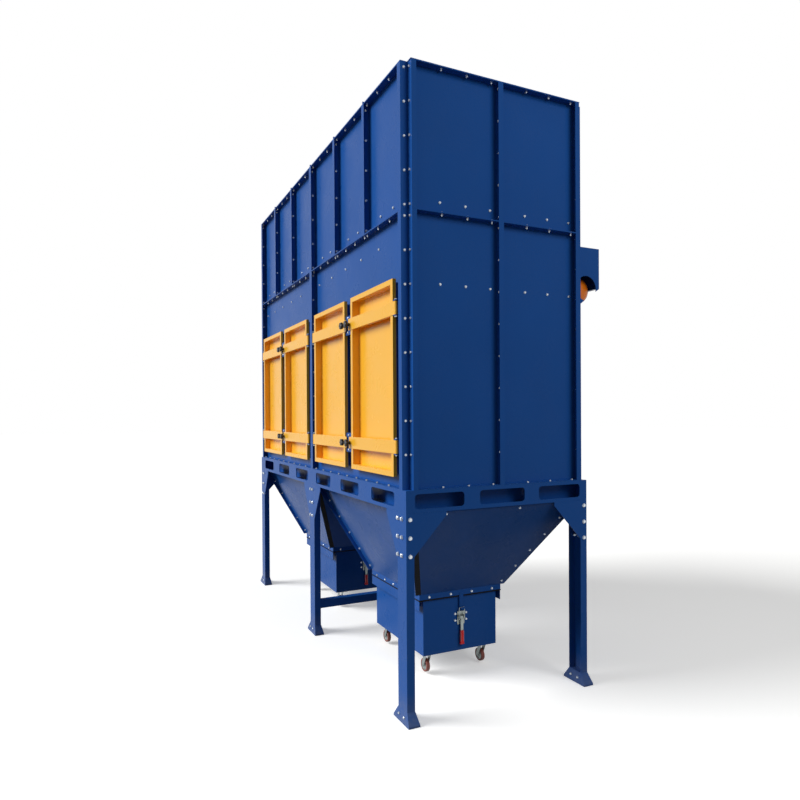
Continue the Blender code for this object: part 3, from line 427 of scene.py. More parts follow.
class StageSettings(bpy.types.PropertyGroup):
    """Camera and light."""

    lens: FloatProperty(
        name="Lens",
        description="Focal length in millimetres on a 36 mm sensor",
        default=27.49,
    )
    key: FloatProperty(
        name="Key light",
        description="Strength of the large soft light on the doors' side",
        default=3.2,
    )
    ambience: FloatProperty(
        name="Ambience",
        description="Strength of the even light from all round",
        subtype="FACTOR",
        default=0.20,
    )
    fill: FloatProperty(
        name="Fill light",
        description="Power of the large softbox off the near end",
        subtype="POWER",
        default=120.0,
    )


def coat_material(name, colour, roughness, specular, peel, dust=0.0, patchy=0.10):
    """Powder coat: sprayed polyester, with faint ripples and slow changes of tone."""
    material, tree, place = new_material(name)
    tone = noise(tree, place, scale=1.7, detail=3.0, Roughness=0.55)
    mixed = blended(tree, tone, shade(colour, 1 - patchy), shade(colour, 1 + patchy))
    if dust:
        # Grey floor dust, thickest at the floor
        height = add_node(tree, "ShaderNodeSeparateXYZ", {"Vector": place}).outputs["Z"]
        low = ranged(tree, height, DUST_HEIGHT, 0.0, 0.0, dust)
        amount = maths(tree, "MULTIPLY", low, noise(tree, place, scale=38.0, detail=5.0))
        mixed = blended(tree, amount, mixed, shade(linear(DUST_COLOUR), 1))
    smear = noise(tree, place, scale=6.0, detail=4.0, Distortion=0.4)
    ripple = noise(tree, place, scale=1 / peel, detail=2.0)
    surfaced(
        tree,
        {
            "Base Color": mixed,
            "Roughness": ranged(tree, smear, 0.3, 0.7, roughness - 0.05, roughness + 0.07),
            "Normal": bumped(tree, ripple, strength=0.06, depth=RIPPLE_DEPTH),
            "Specular IOR Level": specular,
        },
    )


def zinc_material(name, colour, roughness):
    """Zinc plate: a grey metal with a fine mottle, duller where it is rougher."""
    material, tree, place = new_material(name)
    inputs = {"Vector": place, "Scale": 220.0, "Randomness": 1.0}
    mottle = add_node(tree, "ShaderNodeTexVoronoi", inputs).outputs["Distance"]
    grain = noise(tree, place, scale=90.0, detail=3.0)
    surfaced(
        tree,
        {
            "Base Color": blended(tree, mottle, shade(colour, 1.04), shade(colour, 0.78)),
            "Metallic": 1.0,
            "Roughness": ranged(tree, grain, 0.0, 1.0, roughness - 0.06, roughness + 0.10),
        },
    )


def moulded_material(name, colour, roughness, grain_size, depth, sheen=0.0, specular=0.5):
    """Rubber, plastic, foam or felt: one colour, with a fine grain that dulls its gloss."""
    material, tree, place = new_material(name)
    grain = noise(tree, place, scale=1 / grain_size, detail=3.0)
    surfaced(
        tree,
        {
            "Base Color": blended(tree, grain, shade(colour, 0.82), shade(colour, 1.15)),
            "Roughness": roughness,
            "Normal": bumped(tree, grain, strength=0.3, depth=depth),
            "Sheen Weight": sheen,
            "Specular IOR Level": specular,
        },
    )


def finished(name, bm, material, body, replaced=(), sharp=35):
    """A piece from its mesh, with its faces turned outwards, in its finish and on its body."""
    bmesh.ops.recalc_face_normals(bm, faces=bm.faces)
    mesh = bpy.data.meshes.new(name)
    bm.to_mesh(mesh)
    bm.free()
    placed(name, mesh, material, body, replaced, sharp)


def placed(name, mesh, material, body, replaced=(), sharp=35):
    """An object for a finished mesh, riding on its body."""
    mesh.name = name
    mesh.materials.clear()
    mesh.materials.append(bpy.data.materials[material])
    mesh.shade_smooth()
    mesh.set_sharp_from_angle(angle=math.radians(sharp))
    piece = bpy.data.objects.new(name, mesh)
    bpy.context.scene.collection.objects.link(piece)
    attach(piece, body)
    if replaced:
        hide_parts(*replaced)


def loft(bm, rings):
    """Skins rings of points one after another, and closes both ends."""
    rows = [[bm.verts.new(point) for point in ring] for ring in rings]
    count = len(rows[0])
    for low, high in zip(rows, rows[1:]):
        for index in range(count):
            following = (index + 1) % count
            bm.faces.new((low[index], low[following], high[following], high[index]))
    bm.faces.new(rows[0][::-1])
    bm.faces.new(rows[-1])


def skin(bm, rows):
    """Joins closed rows of corners, one after another, and the last to the first."""
    for here, beyond in zip(rows, rows[1:] + rows[:1]):
        for index in range(len(here)):
            following = (index + 1) % len(here)
            bm.faces.new((here[index], beyond[index], beyond[following], here[following]))


def revolve(bm, profile, steps, place):
    """Turns a closed profile of (radius, height) about Z, then moves it to its place."""
    rows = []
    for step in range(steps):
        angle = 2 * math.pi * step / steps
        turn = Vector((math.cos(angle), math.sin(angle), 0))
        rows.append([bm.verts.new(place @ (turn * r + Vector((0, 0, h)))) for r, h in profile])
    skin(bm, rows)


def circle(radius, height, steps):
    """A ring of points about Z."""
    angles = [2 * math.pi * step / steps for step in range(steps)]
    return [Vector((radius * math.cos(a), radius * math.sin(a), height)) for a in angles]


def plate(bm, corners, thickness):
    """A flat sheet from its outline, given thickness against the outline's normal."""
    outline = [Vector(corner) for corner in corners]
    normal = (outline[1] - outline[0]).cross(outline[2] - outline[1]).normalized()
    loft(bm, [[point - normal * thickness for point in outline], outline])


def rounded(half_wide, half_high, radius, steps=5):
    """The outline of a rectangle with round corners, as pairs about its middle."""
    points = []
    for quarter, (way_x, way_z) in enumerate(((1, 1), (-1, 1), (-1, -1), (1, -1))):
        for step in range(steps):
            angle = math.pi / 2 * (quarter + step / (steps - 1))
            x = way_x * (half_wide - radius) + radius * math.cos(angle)
            points.append((x, way_z * (half_high - radius) + radius * math.sin(angle)))
    return points


def new_tree(name, sockets):
    """A Geometry Nodes tree with named inputs, and the sockets that give their values."""
    tree = bpy.data.node_groups.new(name, "GeometryNodeTree")
    for title, kind in (("Geometry", "Geometry"), *sockets, ("Finish", "Material")):
        socket = tree.interface.new_socket(title, in_out="INPUT", socket_type="NodeSocket" + kind)
        if kind == "Float":
            socket.subtype = "DISTANCE"
    tree.interface.new_socket("Geometry", in_out="OUTPUT", socket_type="NodeSocketGeometry")
    return tree, add_node(tree, "NodeGroupInput").outputs


def cone(tree, sides, top, bottom, depth):
    """A cone or a prism, standing on its own base."""
    inputs = {"Vertices": sides, "Radius Top": top, "Radius Bottom": bottom, "Depth": depth}
    return add_node(tree, "GeometryNodeMeshCone", inputs).outputs["Mesh"]


def raised(tree, piece, height):
    """A piece moved up."""
    lift = add_node(tree, "ShaderNodeCombineXYZ", {"Z": height}).outputs[0]
    inputs = {"Geometry": piece, "Translation": lift}
    return add_node(tree, "GeometryNodeTransform", inputs).outputs["Geometry"]


def spread(tree, given, piece, **turned):
    """Puts a piece at every point, makes the copies real and gives them their finish."""
    inputs = {"Points": given["Geometry"], "Instance": piece, **turned}
    copies = add_node(tree, "GeometryNodeInstanceOnPoints", inputs).outputs[0]
    real = add_node(tree, "GeometryNodeRealizeInstances", {"Geometry": copies}).outputs[0]
    inputs = {"Geometry": real, "Material": given["Finish"]}
    coated = add_node(tree, "GeometryNodeSetMaterial", inputs).outputs[0]
    add_node(tree, "NodeGroupOutput", {"Geometry": coated})


def fastener_tree():
    """At each point a washer, a six-sided head with a chamfer and, on nuts, the thread's end."""
    sizes = ["Across flats", "Head height", "Washer radius", "Washer thickness"]
    sizes += ["Thread radius", "Thread length"]
    tree, given = new_tree("fastener_rows", [*((size, "Float") for size in sizes), ("Threaded", "Bool")])
    low = given["Washer thickness"]
    inputs = {"Vertices": WASHER_STEPS, "Radius": given["Washer radius"], "Depth": low}
    washer = add_node(tree, "GeometryNodeMeshCylinder", inputs).outputs["Mesh"]
    pieces = [raised(tree, washer, maths(tree, "MULTIPLY", low, 0.5))]
    corner = maths(tree, "MULTIPLY", given["Across flats"], HEAD_CORNER)
    crown = maths(tree, "MULTIPLY", given["Across flats"], HEAD_CROWN)
    for top, share in ((corner, 1 - HEAD_CHAMFER), (crown, HEAD_CHAMFER)):
        height = maths(tree, "MULTIPLY", given["Head height"], share)
        pieces.append(raised(tree, cone(tree, HEAD_SIDES, top, corner, height), low))
        low = maths(tree, "ADD", low, height)
    radius = given["Thread radius"]
    thread = cone(tree, THREAD_STEPS, radius, radius, given["Thread length"])
    inputs = {"Switch": given["Threaded"], "True": raised(tree, thread, low)}
    pieces.append(add_node(tree, "GeometryNodeSwitch", inputs, input_type="GEOMETRY").outputs[0])
    joined = add_node(tree, "GeometryNodeJoinGeometry")
    for piece in pieces:
        tree.links.new(piece, joined.inputs[0])
    facing = add_node(
        tree, "GeometryNodeInputNamedAttribute", {"Name": "facing"}, data_type="FLOAT_VECTOR"
    )
    inputs = {"Vector": facing.outputs["Attribute"]}
    aligned = add_node(tree, "FunctionNodeAlignRotationToVector", inputs, axis="Z")
    inputs = {"Min": 0.0, "Max": math.pi / 3, "Seed": SPIN_SEED}
    angle = add_node(tree, "FunctionNodeRandomValue", inputs)
    spin = add_node(tree, "FunctionNodeAxisAngleToRotation", {"Angle": angle.outputs["Value"]})
    inputs = {"Rotation": aligned.outputs[0], "Rotate By": spin.outputs[0]}
    rotation = add_node(tree, "FunctionNodeRotateRotation", inputs, rotation_space="LOCAL")
    spread(tree, given, joined.outputs[0], Rotation=rotation.outputs[0])
    return tree


def grown(name, mesh, tree, values):
    """The plain mesh that a Geometry Nodes tree makes from a mesh of points."""
    source = bpy.data.objects.new(name, mesh)
    bpy.context.scene.collection.objects.link(source)
    modifier = source.modifiers.new(name, "NODES")
    modifier.node_group = tree
    for socket in tree.interface.items_tree:
        if socket.item_type == "SOCKET" and socket.name in values:
            modifier[socket.identifier] = values[socket.name]
    bpy.context.view_layer.update()
    graph = bpy.context.evaluated_depsgraph_get()
    made = bpy.data.meshes.new_from_object(source.evaluated_get(graph))
    bpy.data.objects.remove(source)
    return made


def fastener_points(places):
    """A mesh of points, each with the direction that its fastener faces."""
    mesh = bpy.data.meshes.new("fastener_points")
    mesh.from_pydata([place for place, _ in places], [], [])
    facing = mesh.attributes.new("facing", "FLOAT_VECTOR", "POINT")
    facing.data.foreach_set("vector", [part for _, way in places for part in way])
    return mesh


def through(side, u, half, w, heads, nuts, way=1):
    """A bolt along a wall, through two flanges, with its head on one face and its nut on the other."""
    turn = side.to_3x3()
    heads.append((side @ Vector((u + way * half, FLANGE_MIDDLE, w)), turn @ Vector((way, 0, 0))))
    nuts.append((side @ Vector((u - way * half, FLANGE_MIDDLE, w)), turn @ Vector((-way, 0, 0))))


def column_rows():
    """Heights of the bolts in the upright flanges, upper section and lower section."""
    upper = [ROOF_Z - COLUMN_TOP - row * COLUMN_PITCH for row in range(UPPER_ROWS)]
    lower = [JOINT_Z - LOWER_TOP - row * COLUMN_PITCH for row in range(LOWER_ROWS)]
    return upper, lower


def upright_bolts(heads, nuts):
    """Bolts in the corner flanges and in the panels' joints."""
    upper, lower = column_rows()
    joints = [index * PANEL for index in range(1 - PANELS_PER_BAY, PANELS_PER_BAY)]
    for side in (FRONT, REAR):
        for end, height in product(WAYS, upper + lower):
            through(side, end * (WALL_X - SHEET / 2), SHEET / 2, height, heads, nuts, end)
        for joint, height in product(joints, upper + lower if side == REAR else upper):
            through(side, joint, 2 * LAP, height, heads, nuts)
    for height in lower:
        through(FRONT, 0, SHEET + GAP / 2, height, heads, nuts)
    for side, height in product((NEAR, FAR), upper + lower):
        through(side, END_LOW + SHEET / 2, SHEET / 2, height, heads, nuts, -1)
        through(side, END_HIGH - SHEET / 2, SHEET / 2, height, heads, nuts)
        through(side, MID_Y, 2 * LAP, height, heads, nuts, -1)


def level_bolts(heads, nuts):
    """Bolts on the base frame, at the joint of the sections, under the roof and in the faces."""
    up, down, out = Vector((0, 0, 1)), Vector((0, 0, -1)), Vector((0, 1, 0))
    panels = [(index + 0.5) * PANEL for index in range(-PANELS_PER_BAY, PANELS_PER_BAY)]
    long_row = [middle + offset for middle, offset in product(panels, PANEL_BOLTS)]
    halves = (END_LOW + (MID_Y - END_LOW) / 2, MID_Y + (END_HIGH - MID_Y) / 2)
    end_row = [middle + offset for middle, offset in product(halves, END_BOLTS)]
    sill = [(index - (SILL_COUNT - 1) / 2) * SILL_PITCH for index in range(SILL_COUNT)]
    sill_row = [end * BAY_MIDDLE + offset for end, offset in product(WAYS, sill)]
    face = [(index - (FACE_COUNT - 1) / 2) * FACE_PITCH for index in range(FACE_COUNT)]
    low_face = [end * BAY_MIDDLE + FACE_SHIFT + offset for end, offset in product(WAYS, face)]
    high_face = [middle + offset for middle, offset in product(panels, PANEL_FACE_BOLTS)]
    frame_flange = [(FRAME_TOP + GAP + SHEET, FRAME_TOP - FRAME_WALL)]
    wall_flanges = [(JOINT_Z + GAP + SHEET, JOINT_Z - SHEET), (ROOF_Z, ROOF_Z - 2 * SHEET - GAP)]
    for side, low_row, row in (
        (FRONT, sill_row, long_row),
        (REAR, long_row, long_row),
        (NEAR, end_row, end_row),
        (FAR, end_row, end_row),
    ):
        for u, (top, bottom) in [*product(low_row, frame_flange), *product(row, wall_flanges)]:
            heads.append((side @ Vector((u, FLANGE_MIDDLE, top)), up))
            nuts.append((side @ Vector((u, FLANGE_MIDDLE, bottom)), down))
        if row is end_row:
            for height, u in product((JOINT_Z + END_FACE_RISE, JOINT_Z - END_FACE_DROP), end_row):
                heads.append((side @ Vector((u, 0, height)), side.to_3x3() @ out))
    for side in (FRONT, REAR):
        for row, height in ((low_face, JOINT_Z - FACE_DROP), (high_face, JOINT_Z + END_FACE_RISE)):
            heads.extend((side @ Vector((u, 0, height)), side.to_3x3() @ out) for u in row)


def hopper_corner(height, mirror):
    """Inner X, outer X and half width of a hopper at a height. Mirror is -1 for the far one."""
    share = (height - MOUTH_Z - COLLAR) / (HOPPER_TOP - MOUTH_Z - COLLAR)
    low = BAY_MIDDLE - MOUTH_HALF_LENGTH
    low += (HOPPER_LOW - low) * share
    high = BAY_MIDDLE + MOUTH_HALF_LENGTH
    high += (HOPPER_HIGH - high) * share
    wide = MOUTH_HALF_WIDTH + (HOPPER_HALF_WIDTH - MOUTH_HALF_WIDTH) * share
    return (low, high, wide) if mirror > 0 else (-low, -high, wide)


def end_facing(end, outer, rise):
    """The way that a hopper's sloping end faces: outer is 1 at the unit's ends, -1 by its middle."""
    reach = HOPPER_HIGH - BAY_MIDDLE if outer > 0 else BAY_MIDDLE - HOPPER_LOW
    return Vector((end * rise, 0, MOUTH_HALF_LENGTH - reach)).normalized()


def hopper_bolts(heads):
    """Bolts along the hoppers' sloping corners, under their top edges and round their mouths."""
    rise = HOPPER_TOP - MOUTH_Z - COLLAR
    slant = HOPPER_HALF_WIDTH - MOUTH_HALF_WIDTH
    for mirror in WAYS:
        for row in SEAM_BOLT_ROWS:
            height = MOUTH_Z + row
            low, high, wide = hopper_corner(height, mirror)
            for edge, end in ((low, -mirror), (high, mirror)):
                facing = end_facing(end, end * mirror, rise)
                heads.append((Vector((edge, MID_Y + wide - SEAM_INSET, height)), facing))
                for side in WAYS:
                    across = Vector((0, side * rise, -slant)).normalized()
                    place = Vector((edge - end * SEAM_INSET, MID_Y + side * wide, height))
                    heads.append((place, across))
        height = HOPPER_TOP - HOPPER_TOP_DROP
        low, high, wide = hopper_corner(height, mirror)
        for (edge, end), offset in product(((low, -mirror), (high, mirror)), HOPPER_TOP_BOLTS):
            facing = end_facing(end, end * mirror, rise)
            heads.append((Vector((edge, MID_Y + offset, height)), facing))
        height = MOUTH_Z + COLLAR / 2
        for side in WAYS:
            x = mirror * BAY_MIDDLE + side * MOUTH_HALF_LENGTH
            y = MID_Y + side * MOUTH_HALF_WIDTH
            for offset in MOUTH_END_BOLTS:
                heads.append((Vector((x, MID_Y + offset, height)), Vector((side, 0, 0))))
            for offset in MOUTH_SIDE_BOLTS:
                place = Vector((mirror * BAY_MIDDLE + offset, y, height))
                heads.append((place, Vector((0, side, 0))))


def leg_bolts(heads, nuts):
    """The larger bolts that hold the legs to the base frame."""
    heights = [LEG_TOP - drop for drop in LEG_BOLT_DROPS]
    columns = [end * (X_END - inset) for end, inset in product(WAYS, LEG_BOLT_INSETS)]
    columns += [MIDDLE_BOLT_OFFSET, -MIDDLE_BOLT_OFFSET]
    for side, height in product((FRONT, REAR), heights):
        turn = side.to_3x3()
        for u in columns:
            heads.append((side @ Vector((u, FLANGE, height)), turn @ Vector((0, 1, 0))))
            nuts.append((side @ Vector((u, FLANGE - LEG_WALL, height)), turn @ Vector((0, -1, 0))))
        for end in WAYS:
            heads.append((side @ Vector((end * X_END, END_BOLT_INSET, height)), Vector((end, 0, 0))))
            inner = end * (X_END - LEG_WALL)
            nuts.append((side @ Vector((inner, END_BOLT_INSET, height)), Vector((-end, 0, 0))))


def foot_bolts(heads):
    """Two small bolts on the outer and the inner slope of each foot."""
    middles = (X_END - LEG_MIDDLE, 0, LEG_MIDDLE - X_END)
    for side, (out, way_out) in product((FRONT, REAR), ((FOOT_BOLT_OUT, 1), (FOOT_BOLT_BACK, -1))):
        facing = Vector((0, way_out * math.cos(FOOT_SLOPE), math.sin(FOOT_SLOPE)))
        for middle, way in product(middles, WAYS):
            place = Vector((middle + way * FOOT_BOLT_OFFSET / 2, out, FOOT_BOLT_Z))
            heads.append((side @ place, side.to_3x3() @ facing))


def fitting_bolts(heads):
    """Bolts of the clamp brackets, screws of the latches and bolts of the castor plates."""
    up = Vector((0, 0, 1))
    for bay in (BAY_MIDDLE, -BAY_MIDDLE):
        for level, way in product(STRAP_LEVELS, WAYS):
            place = FRONT @ Vector((bay, CLAMP_OUT, level + way * CLAMP_BOLT))
            heads.append((place, Vector((0, -1, 0))))
        for end in WAYS:
            for height, way in product(LATCH_SCREWS, WAYS):
                place = Vector((bay + end * BIN_HALF_LENGTH, MID_Y + way * LATCH_SCREW_OFFSET, height))
                heads.append((place, Vector((end, 0, 0))))
            x = bay + end * (BIN_HALF_LENGTH - CASTOR_INSET)
            for across, way_x, way_y in product(WAYS, WAYS, WAYS):
                y = MID_Y + across * (BIN_HALF_WIDTH - CASTOR_INSET) + way_y * CASTOR_BOLT
                place = Vector((x + way_x * CASTOR_BOLT, y, BIN_FLOOR - CASTOR_PLATE))
                heads.append((place, -up))


def pin_heads():
    """The zinc heads at both ends of every hinge pin."""
    heads = []
    for bay, end, level, way in product((BAY_MIDDLE, -BAY_MIDDLE), WAYS, STRAP_LEVELS, WAYS):
        place = Vector((bay + end * HINGE_OFFSET, HINGE_OUT, level + way * (STRAP_HALF + EAR)))
        heads.append((FRONT @ place, Vector((0, 0, way))))
    return heads


class COLLECTOR_OT_finishes(bpy.types.Operator):
    """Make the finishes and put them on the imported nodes"""

    bl_idname = "collector.finishes"
    bl_label = "Finishes"

    def execute(self, context):
        given = context.scene.collector_finish
        # Semi-gloss powder coat on sheet steel: deep blue, with a faint shine and dust low down
        coat_material(
            "blue_powder_coat", given.blue, roughness=0.28, specular=0.06, peel=given.peel, dust=0.55
        )
        # The same coat in yellow, glossier and of one even tone
        coat_material(
            "yellow_powder_coat",
            given.yellow,
            roughness=0.24,
            specular=0.35,
            peel=given.peel,
            patchy=0.03,
        )
        # Orange coat on the welded header pipe
        coat_material(
            "orange_powder_coat", given.orange, roughness=0.34, specular=0.40, peel=given.peel
        )
        # Bright zinc on the bolts and the knobs' studs
        zinc_material("bright_zinc_plate", linear("C6CCD2"), roughness=0.28)
        # Dull zinc on castors, latches and the cartridges' end caps
        zinc_material("galvanised_steel", linear("98A09E"), roughness=0.40)
        # Black phenolic, polished by handling, with small bright highlights
        moulded_material(
            "black_phenolic", linear("131315"), roughness=0.28, grain_size=0.0015, depth=0.0001
        )
        # Cast polyurethane tyre, a dull red brown
        moulded_material(
            "polyurethane_tyre", given.tread, roughness=0.48, grain_size=0.003, depth=0.0003
        )
        # Vinyl dip over the lever, bright red and glossy
        moulded_material(
            "red_vinyl_dip", given.grip, roughness=0.24, grain_size=0.004, depth=0.0001, specular=0.3
        )
        # Closed-cell foam strip, matt black; the same black strip on the hoppers' front seams is painted
        # shade
        moulded_material(
            "black_foam_seal",
            linear("0E0E10"),
            roughness=0.85,
            grain_size=0.0015,
            depth=0.0004,
            specular=0.15,
        )
        # Spun-bonded polyester, an off-white felt with a soft sheen
        moulded_material(
            "polyester_media",
            linear("E4E1D6"),
            roughness=0.90,
            grain_size=0.002,
            depth=0.0004,
            sheen=0.3,
        )
        for name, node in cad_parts.items():
            finish = "bright_zinc_plate"
            if name.startswith(BLUE_NODES):
                finish = "blue_powder_coat"
            if name.startswith("access_door"):
                finish = "yellow_powder_coat"
            if name == "air_header":
                finish = "orange_powder_coat"
            if name.startswith(("castor", "latch")):
                finish = "galvanised_steel"
            for slot in node.material_slots:
                slot.material = bpy.data.materials[finish]
        return {"FINISHED"}


class COLLECTOR_OT_fasteners(bpy.types.Operator):
    """Bolt the sheets, legs, hoppers, brackets and castor plates together"""

    bl_idname = "collector.fasteners"
    bl_label = "Fasteners"

    def execute(self, context):
        given = context.scene.collector_fastener
        tree = fastener_tree()
        heads, nuts, leg_heads, leg_nuts = [], [], [], []
        upright_bolts(heads, nuts)
        level_bolts(heads, nuts)
        hopper_bolts(heads)
        foot_bolts(heads)
        fitting_bolts(heads)
        leg_bolts(leg_heads, leg_nuts)
        zinc = bpy.data.materials["bright_zinc_plate"]
        for name, places, flats, washer, (height, thickness, thread) in (
            ("sheet_bolt_heads", heads, given.sheet_flats, given.sheet_washer, SHEET_HEAD),
            ("sheet_bolt_nuts", nuts, given.sheet_flats, given.sheet_washer, SHEET_NUT),
            ("leg_bolt_heads", leg_heads, given.leg_flats, given.leg_washer, LEG_HEAD),
            ("leg_bolt_nuts", leg_nuts, given.leg_flats, given.leg_washer, LEG_NUT),
            ("hinge_pin_heads", pin_heads(), PIN_FLATS, PIN_WASHER, PIN_HEAD),
        ):
            values = {
                "Across flats": flats,
                "Head height": height,
                "Washer radius": washer,
                "Washer thickness": thickness,
                "Thread radius": flats * THREAD_SHARE,
                "Thread length": thread,
                "Threaded": thread > 0,
                "Finish": zinc,
            }
            mesh = grown(name, fastener_points(places), tree, values)
            placed(name, mesh, "bright_zinc_plate", "root")
        return {"FINISHED"}


class COLLECTOR_OT_hopper_seams(bpy.types.Operator):
    """Fold the bolting flanges along the hoppers' corners"""

    bl_idname = "collector.hopper_seams"
    bl_label = "Hopper seams"

    def execute(self, context):
        bottom = MOUTH_Z + COLLAR
        for mirror, bay in ((1, "near"), (-1, "far")):
            bm = bmesh.new()
            ends = [(height, hopper_corner(height, mirror)) for height in (bottom, HOPPER_TOP - SHEET)]
            for (pick, end), side in product(((0, -mirror), (1, mirror)), WAYS):
                edge = [Vector((c[pick], MID_Y + side * c[2], height)) for height, c in ends]
                outer = [point + Vector((0, side * SEAM_WIDTH, 0)) for point in edge]
                inner = [point - Vector((0, side * SHEET, 0)) for point in edge]
                outline = [inner[0], outer[0], outer[1], inner[1]]
                plate(bm, outline if side == end else outline[::-1], SHEET)
            finished(f"hopper_seams_{bay}", bm, "blue_powder_coat", "root")
        return {"FINISHED"}


class COLLECTOR_OT_seam_shade_strips(bpy.types.Operator):
    """Lay black strips over the hoppers' front seams, as painted shade for the dark band along them"""

    bl_idname = "collector.seam_strips"
    bl_label = "Seam strips"

    def execute(self, context):
        bottom = MOUTH_Z + COLLAR + STRIP_END
        for mirror, bay in ((1, "near"), (-1, "far")):
            bm = bmesh.new()
            ends = [(h, hopper_corner(h, mirror)) for h in (bottom, HOPPER_TOP - STRIP_END)]
            for pick, end in ((0, -mirror), (1, mirror)):
                proud = Vector((end * STRIP_THICKNESS, 0, 0))
                inner = [Vector((c[pick], MID_Y - c[2] + STRIP_LAP, h)) + proud for h, c in ends]
                outer = [Vector((c[pick], MID_Y - c[2] - SEAM_WIDTH + LAP, h)) + proud for h, c in ends]
                outline = [inner[0], outer[0], outer[1], inner[1]]
                plate(bm, outline if end < 0 else outline[::-1], STRIP_THICKNESS)
            # Painted shade: black strips on the front seams only, where these seams lie in shade
            finished(f"seam_strips_{bay}", bm, "black_foam_seal", "root")
        return {"FINISHED"}


class COLLECTOR_OT_latch_plates(bpy.types.Operator):
    """Face each toggle latch's base and ears in zinc"""

    bl_idname = "collector.latch_plates"
    bl_label = "Latch plates"

    def execute(self, context):
        for bay, middle in BAYS:
            bm = bmesh.new()
            for end in (1, -1):
                face = middle + end * (BIN_HALF_LENGTH + SHEET)
                base = rounded(LATCH_BASE_HALF_WIDTH, LATCH_BASE_HALF_HEIGHT, LATCH_BASE_ROUND)
                rings = []
                for out in (0, LATCH_PLATE):
                    x = face + end * out
                    rings.append([Vector((x, MID_Y + y, LATCH_BASE_Z + z)) for y, z in base])
                loft(bm, rings)
                half, high = LATCH_EAR_HALF + LATCH_SKIN, LATCH_EAR_HALF_HEIGHT + LATCH_SKIN
                side = rounded(half, high, LATCH_SKIN)
                for ear in (LATCH_EAR_Y, -LATCH_EAR_Y):
                    rings = []
                    for out in (LATCH_PLATE, LATCH_EAR_REACH + LATCH_SKIN):
                        x = face + end * out
                        rings.append([Vector((x, MID_Y + ear + y, LATCH_PIN_Z + z)) for y, z in side])
                    loft(bm, rings)
            finished(f"latch_plates_{bay}", bm, "galvanised_steel", "root")
        return {"FINISHED"}


class COLLECTOR_OT_frame_plates(bpy.types.Operator):
    """Close the ends of the base frame's long box sections"""

    bl_idname = "collector.frame_plates"
    bl_label = "Frame end plates"

    def execute(self, context):
        bm = bmesh.new()
        inner = FRAME_FLANGE - FRAME_WALL
        for end in (1, -1):
            for low, high in (
                (FRONT_Y + FRAME_WALL, FRONT_Y + inner),
                (REAR_Y - inner, REAR_Y - FRAME_WALL),
            ):
                x = end * (X_END - inner)
                bottom, top = LEG_TOP + GAP + FRAME_WALL, FRAME_TOP - FRAME_WALL
                outline = [(x, low, bottom), (x, high, bottom), (x, high, top), (x, low, top)]
                plate(bm, outline, FRAME_WALL)
        finished("frame_end_plates", bm, "blue_powder_coat", "root")
        return {"FINISHED"}


class COLLECTOR_OT_knobs(bpy.types.Operator):
    """Mould the star knobs and their studs"""

    bl_idname = "collector.knobs"
    bl_label = "Star knobs"

    def execute(self, context):
        given = context.scene.collector_knob
        steps = KNOB_STEPS * given.lobes
        radius = given.radius
        lobes = [(radius - inside, height, depth) for inside, height, depth in KNOB_LOBES]
        rings = []
        for size, height, depth in (*KNOB_NECK, *lobes, *KNOB_CROWN):
            ring = []
            for step in range(steps):
                angle = 2 * math.pi * step / steps
                cut = depth * given.waist * (1 - math.cos(given.lobes * angle)) / 2
                ring.append(Vector((math.cos(angle), math.sin(angle), 0)) * size * (1 - cut))
                ring[-1].z = height
            rings.append(ring)
        for name in sorted(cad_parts):
            if not name.startswith("knob_"):
                continue
            low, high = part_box(name)
            base = Vector(((low.x + high.x) / 2, high.y - STUD_LENGTH, (low.z + high.z) / 2))
            place = Matrix.Translation(base) @ Matrix.Rotation(math.pi / 2, 4, "X")
            body = "access_door_" + name.split("_")[1]
            head = bmesh.new()
            loft(head, [[place @ point for point in ring] for ring in rings])
            finished(f"{name}_head", head, "black_phenolic", body, (name,))
            stud = bmesh.new()
            turned = [circle(size, out, STUD_STEPS) for out, size in STUD]
            loft(stud, [[place @ point for point in ring] for ring in turned])
            revolve(stud, STUD_WASHER, STUD_WASHER_STEPS, place)
            finished(f"{name}_stud", stud, "bright_zinc_plate", body, (name,))
        return {"FINISHED"}


class COLLECTOR_OT_castors(bpy.types.Operator):
    """Mould the castors' tyres on their steel cores"""

    bl_idname = "collector.castors"
    bl_label = "Castor wheels"

    def execute(self, context):
        depth = context.scene.collector_castor.tyre_depth
        for name in sorted(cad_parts):
            if not name.startswith("castor_wheel"):
                continue
            low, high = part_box(name)
            radius = (high.z - low.z) / 2
            inner = radius - depth
            half = (high.y - low.y) / 2
            place = Matrix.Translation((low + high) / 2) @ Matrix.Rotation(math.pi / 2, 4, "X")
            tag = name.removeprefix("castor_wheel_")
            tyre = [(inner, half - TYRE_FOOT)]
            tyre += [(radius - inside, half - back) for inside, back in TYRE_TREAD]
            core = [(hub, half - back) for hub, back in CORE_HUB]
            core += [(inner - inside, half - back) for inside, back in CORE_RIM]
            for part, right, steps, material, slot in (
                ("tyre", tyre, TYRE_STEPS, "polyurethane_tyre", "castor_tread"),
                ("core", core, CORE_STEPS, "galvanised_steel", "zinc"),
            ):
                bm = bmesh.new()
                revolve(bm, right + [(r, -h) for r, h in reversed(right)], steps, place)
                finished(f"castor_{part}_{tag}", bm, material, name, (name,))
        return {"FINISHED"}


